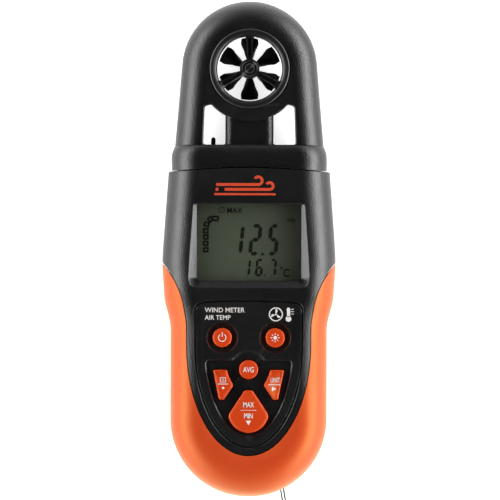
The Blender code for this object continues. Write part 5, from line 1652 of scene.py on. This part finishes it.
def head_body():
    body = solid("head_body", head_form())
    keep_inside(body, block(-60, 60, COLLAR_TOP - 2.7, HEAD_TOP + 10, -20, 60))
    settle(body)
    join(body, collar_form())
    cut(body, seam_dome(SEAM_Y + 0.4, above=False))
    for outline in (air_window(), flipped(air_window())):
        cut(body, through_window(outline))
    for is_front in (True, False):
        cut(body, stalk_relief(is_front))
    return settle(body)


def head_hollow():
    hollow = solid("head_hollow", head_form(2.0, fine=False))
    cut(hollow, block(-60, 60, SEAM_Y - 20, COLLAR_TOP + 1, -20, 60))
    cut(hollow, rod(DUCT_OUTER + 2.0, -20, 60, (VANE.x, VANE.y, 0), steps=48))
    for outline in (air_window(1.4), flipped(air_window(1.4))):
        cut(hollow, prism(outline, -20, 60))
    for place in HEAD_SCREWS[:2]:
        cut(hollow, rod(2.6, -20, 60, (place.x, place.y, 0), steps=16))
    cut(hollow, block(-STALK_HALF - 2, STALK_HALF + 2, 0, VANE.y, HEAD_FACE - 4.6, 60))
    cut(hollow, block(-STALK_HALF - 2, STALK_HALF + 2, 0, VANE.y, -20, PARTING - HEAD_DEPTH / 2 + 4.6))
    return settle(hollow)


def head_half(name, is_front, node):
    made = solid(name, half_space(is_front))
    keep_inside(made, head_body())
    settle(made)
    cut(made, head_hollow())
    seat = RIM_TOP - 1.4 - CLEARANCE - PARTING
    wide, narrow = RIM_OUTER + 0.1, DUCT_OUTER + CLEARANCE
    face = HEAD_DEPTH / 2
    lip = 0.22
    bore = [(0, 40), (wide + lip, 40), (wide + lip, face), (wide + lip / 3, face - lip / 3),
            (wide, face - lip), (wide, seat), (narrow, seat)]
    bore = [(radius, -height) for radius, height in bore] + bore[::-1]
    cut(made, turned(bore, (VANE.x, VANE.y, PARTING), steps=96))
    key_base = SEAM_Y + 2.0
    cut(made, rod(SPIGOT, SEAM_Y - 5, key_base + 1, (0, 0, PARTING), "Y", 48))
    side = 8.3
    cut(made, block(-side, side, key_base - CLEARANCE, key_base + 2.3, PARTING - side, PARTING + side))
    cut(made, block(-2.5, 2.5, key_base, COLLAR_TOP + 3, PARTING - 2.5, PARTING + 2.5))
    probe = centre("temperature_probe")
    cut(made, rod(1.05, COLLAR_TOP - 4, COLLAR_TOP + 5, (probe.x, 0, probe.z), "Y", 32))
    for place in HEAD_SCREWS:
        cut(made, screw_bore(8.0, place))
    return piece(name, made, "head", [node], black)


head_half("arch_front", True, "head_front")
head_half("arch_rear", False, "head_rear")


# %% [markdown]
# ## The vane
# Air goes through a short duct. A rim with a stepped face holds it in the head, and three channelled arms
# carry the bearing. The rotor has six blades that widen outwards and twist, each a thin cambered section.

# %% Duct and arms
def duct(name, is_front, node):
    way = 1 if is_front else -1
    top = RIM_TOP - PARTING
    bore = 10.8
    profile = [(bore, 0.15), (DUCT_OUTER, 0.15), (DUCT_OUTER, top - 1.4), (RIM_OUTER, top - 1.4),
               (RIM_OUTER, top - 0.4)]
    profile += [(RIM_OUTER - 0.4 * (1 - math.cos(a)), top - 0.4 + 0.4 * math.sin(a)) for a in (0.4, 0.8, 1.2)]
    profile += [(12.6, top - 0.06), (12.0, top - 0.22), (11.5, top - 0.42), (11.15, top - 0.68),
                (10.95, top - 1.0), (bore, top - 1.6)]
    made = solid(name, turned([(r, h * way) for r, h in profile], VANE, steps=96))
    arm_top = top - 0.5
    for i in range(3):
        turn = Matrix.Translation(VANE) @ Matrix.Rotation(math.radians(90 + 120 * i), 4, "Z")
        half = 0.95
        plan = [(2.4, -half), (9.2, -half), (10.2, -half - 0.3), (11.4, -half - 1.0), (11.4, half + 1.0),
                (10.2, half + 0.3), (9.2, half), (2.4, half)]
        low, high = sorted((way * (arm_top - 1.5), way * arm_top))
        arm = prism(plan, low, high)
        bmesh.ops.transform(arm, matrix=turn, verts=arm.verts)
        join(made, arm)
    boss = ((0, -3.0), (2.9, -3.0), (3.3, -1.5), (3.3, -0.5), (3.15, -0.3), (2.75, -0.25), (2.65, -0.12),
            (2.6, 0), (2.4, 0.02), (2.3, -0.15), (2.2, -0.4), (1.75, -0.4), (1.7, -0.1), (1.6, 0.02),
            (1.4, 0), (1.32, -0.25), (0.7, -0.3), (0, -0.3))
    join(made, turned([(r, (arm_top + rise) * way) for r, rise in boss], VANE, steps=48))
    settle(made)
    for i in range(3):
        turn = Matrix.Translation(VANE) @ Matrix.Rotation(math.radians(90 + 120 * i), 4, "Z")
        low, high = sorted((way * (arm_top - 0.55), way * (arm_top + 2)))
        channel = prism([(3.6, -0.55), (10.0, -0.55), (10.0, 0.55), (3.6, 0.55)], low, high)
        bmesh.ops.transform(channel, matrix=turn, verts=channel.verts)
        cut(made, channel)
    low, high = sorted((way * (arm_top - 5), way * (arm_top - 0.75)))
    cut(made, rod(2.0, low, high, VANE, steps=32))
    return piece(name, made, "head", [node], black_fine)


duct("duct_front", True, "vane_frame_front")
duct("duct_rear", False, "vane_frame_rear")

# %% [markdown]
# The rotor is a hub with six blades. Each blade is lofted from thin cambered sections that widen and
# flatten towards the tip, and the last ones follow the duct's circle, so the gap at the tip is even.

# %% Rotor
BLADE_TIP = 10.4
BLADE_STATIONS = ((0.18, 2.8, 62.0), (0.5, 5.2, 50.0), (0.8, 7.8, 42.0), (1.0, 7.0, 38.0))


def station(share):
    """Width and pitch of the blade at a share of the way to its tip, on a smooth curve."""
    for (s0, w0, p0), (s1, w1, p1) in zip(BLADE_STATIONS, BLADE_STATIONS[1:]):
        if share <= s1:
            t = (share - s0) / (s1 - s0)
            t = t * t * (3 - 2 * t) * 0.5 + t * 0.5
            return w0 + (w1 - w0) * t, p0 + (p1 - p0) * t
    return BLADE_STATIONS[-1][1:]


def blade():
    rings = []
    count = 14
    thick = 0.55
    for i in range(count + 1):
        share = 0.18 + 0.82 * i / count
        width, pitch = station(share)
        a = math.radians(pitch)
        chord = Vector((0, math.cos(a), math.sin(a)))
        normal = Vector((0, -math.sin(a), math.cos(a)))
        ring = []
        for u in (-1.0, -0.85, -0.5, 0.0, 0.5, 0.85, 1.0):
            bulge = thick / 2 * (1 - u * u) + 0.08
            ring.append((u, bulge))
        section = ring + [(u, -b) for u, b in reversed(ring)]
        points = []
        for u, v in section:
            spot = chord * (u * width / 2) + normal * (v + 0.5 * (1 - u * u) * share)
            reach = BLADE_TIP * share
            reach = math.sqrt(max(0.0, reach ** 2 - spot.y ** 2)) if share > 0.9 else reach
            points.append((reach, spot.y, spot.z))
        rings.append(points)
    return lofted(rings)


HUB_HALF = 3.5
SHAFT_BORE = 0.65
hub = [(SHAFT_BORE, -HUB_HALF), (2.2, -HUB_HALF), (2.6, -HUB_HALF + 0.3), (2.8, -HUB_HALF + 0.9),
       (2.8, HUB_HALF - 0.9), (2.6, HUB_HALF - 0.3), (2.2, HUB_HALF), (2.0, HUB_HALF), (2.0, HUB_HALF - 2),
       (SHAFT_BORE, HUB_HALF - 2)]
rotor = solid("rotor", turned(hub, VANE, steps=48))
for i in range(6):
    leaf = blade()
    turn = Matrix.Translation(VANE) @ Matrix.Rotation(math.radians(90 + 60 * i), 4, "Z")
    bmesh.ops.transform(leaf, matrix=turn, verts=leaf.verts)
    join(rotor, leaf)
piece("vane_rotor", rotor, "rotor", ["impeller"], black_fine, sharp=40)

# %% [markdown]
# A bead on a short stem stands in the left window, out of the hand's warmth. It is one turned profile: a
# rod with a round end.

# %% Temperature probe
PROBE = 0.75
low, high = box("temperature_probe")
profile = [(0, low.y), (PROBE - 0.05, low.y), (PROBE, low.y + 0.1), (PROBE, high.y - PROBE)]
profile += [(PROBE * math.cos(a), high.y - PROBE + PROBE * math.sin(a)) for a in (0.3, 0.6, 0.9, 1.2, 1.4)]
profile.append((0, high.y))
probe = centre("temperature_probe")
piece("probe_bead", turned(profile, (probe.x, 0, probe.z), "Y", 32),
      "head", ["temperature_probe"], black_fine)

# %% [markdown]
# ## Inside
# With the cover off, the bay shows three cells, their springs and contacts. The cells are turned with a
# shoulder and a nub; the springs are coils of round wire. What stays hidden keeps its plain shape and gets
# its own finish.

# %% Cells and springs
CELL_RADIUS = 5.25
SPRING_TURNS = 3


def spring_point(share, x, z, low_y, high_y):
    """A point on a conical spring, at a share of the way along its wire."""
    radius = 4.0 - 2.0 * share
    a = 2 * math.pi * SPRING_TURNS * share
    return Vector((x + radius * math.cos(a), low_y + (high_y - low_y) * share, z + radius * math.sin(a)))


for i in range(1, 4):
    low, high = box(f"battery_{i}")
    middle = (low + high) / 2
    up = -1 if i == 2 else 1
    end = (high.y - low.y) / 2
    start = -end
    profile = [(0, start), (4.4, start), (4.7, start + 0.15), (5.0, start + 0.1), (CELL_RADIUS, start + 0.4),
               (CELL_RADIUS, end - 1.4), (5.1, end - 1.05), (4.8, end - 0.95), (4.5, end - 1.1),
               (2.2, end - 1.05), (1.9, end - 0.8), (1.9, end - 0.12), (1.78, end), (0, end)]
    piece(f"cell_{i}", turned([(r, h * up) for r, h in profile], middle, "Y", 48), "casing", [f"battery_{i}"],
          cell_wrap)
    low, high = box(f"battery_spring_{i}")
    spring = [spring_point(k / 90, middle.x, middle.z, low.y + 0.35, high.y - 0.35) for k in range(91)]
    wire = plain_cord(f"spring_{i}", spring, 0.7)
    wire.data.materials.clear()
    wire.data.materials.append(steel)
    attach(wire, "casing")
    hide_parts(f"battery_spring_{i}")
print("cells and springs ready")

# %% [markdown]
# What lies inside keeps its plain shape, but not a plain look. Each such node gets the finish of its own
# stuff, so that an open bay shows a green board, plated contacts and white nylon.

# %% Finishes for the CAD nodes that stay
KEPT = {
    board: ("main_board", "sensor_board"),
    nickel: ("radio_module", "contact_positive", "contact_negative", "contact_bridge_upper",
             "contact_bridge_lower"),
    silicone: ("keypad_mat", "elastomer_connector", "sensor_lead"),
    nylon: ("backlight", "swivel_spigot"),
    lcd_back: ("lcd_module",),
    steel: ("swivel_washer", "bearing_front", "bearing_rear", "impeller_shaft",
            *(f"board_screw_{i}" for i in range(1, 5))),
    magnet: ("rotor_magnet",),
}
for material, nodes in KEPT.items():
    for node in nodes:
        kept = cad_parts[node]
        if not kept.material_slots:
            kept.data.materials.append(material)
        for slot in kept.material_slots:
            slot.material = material
shown = [name for name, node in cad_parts.items() if not node.hide_render]
print("CAD nodes that still show:", ", ".join(sorted(shown)))
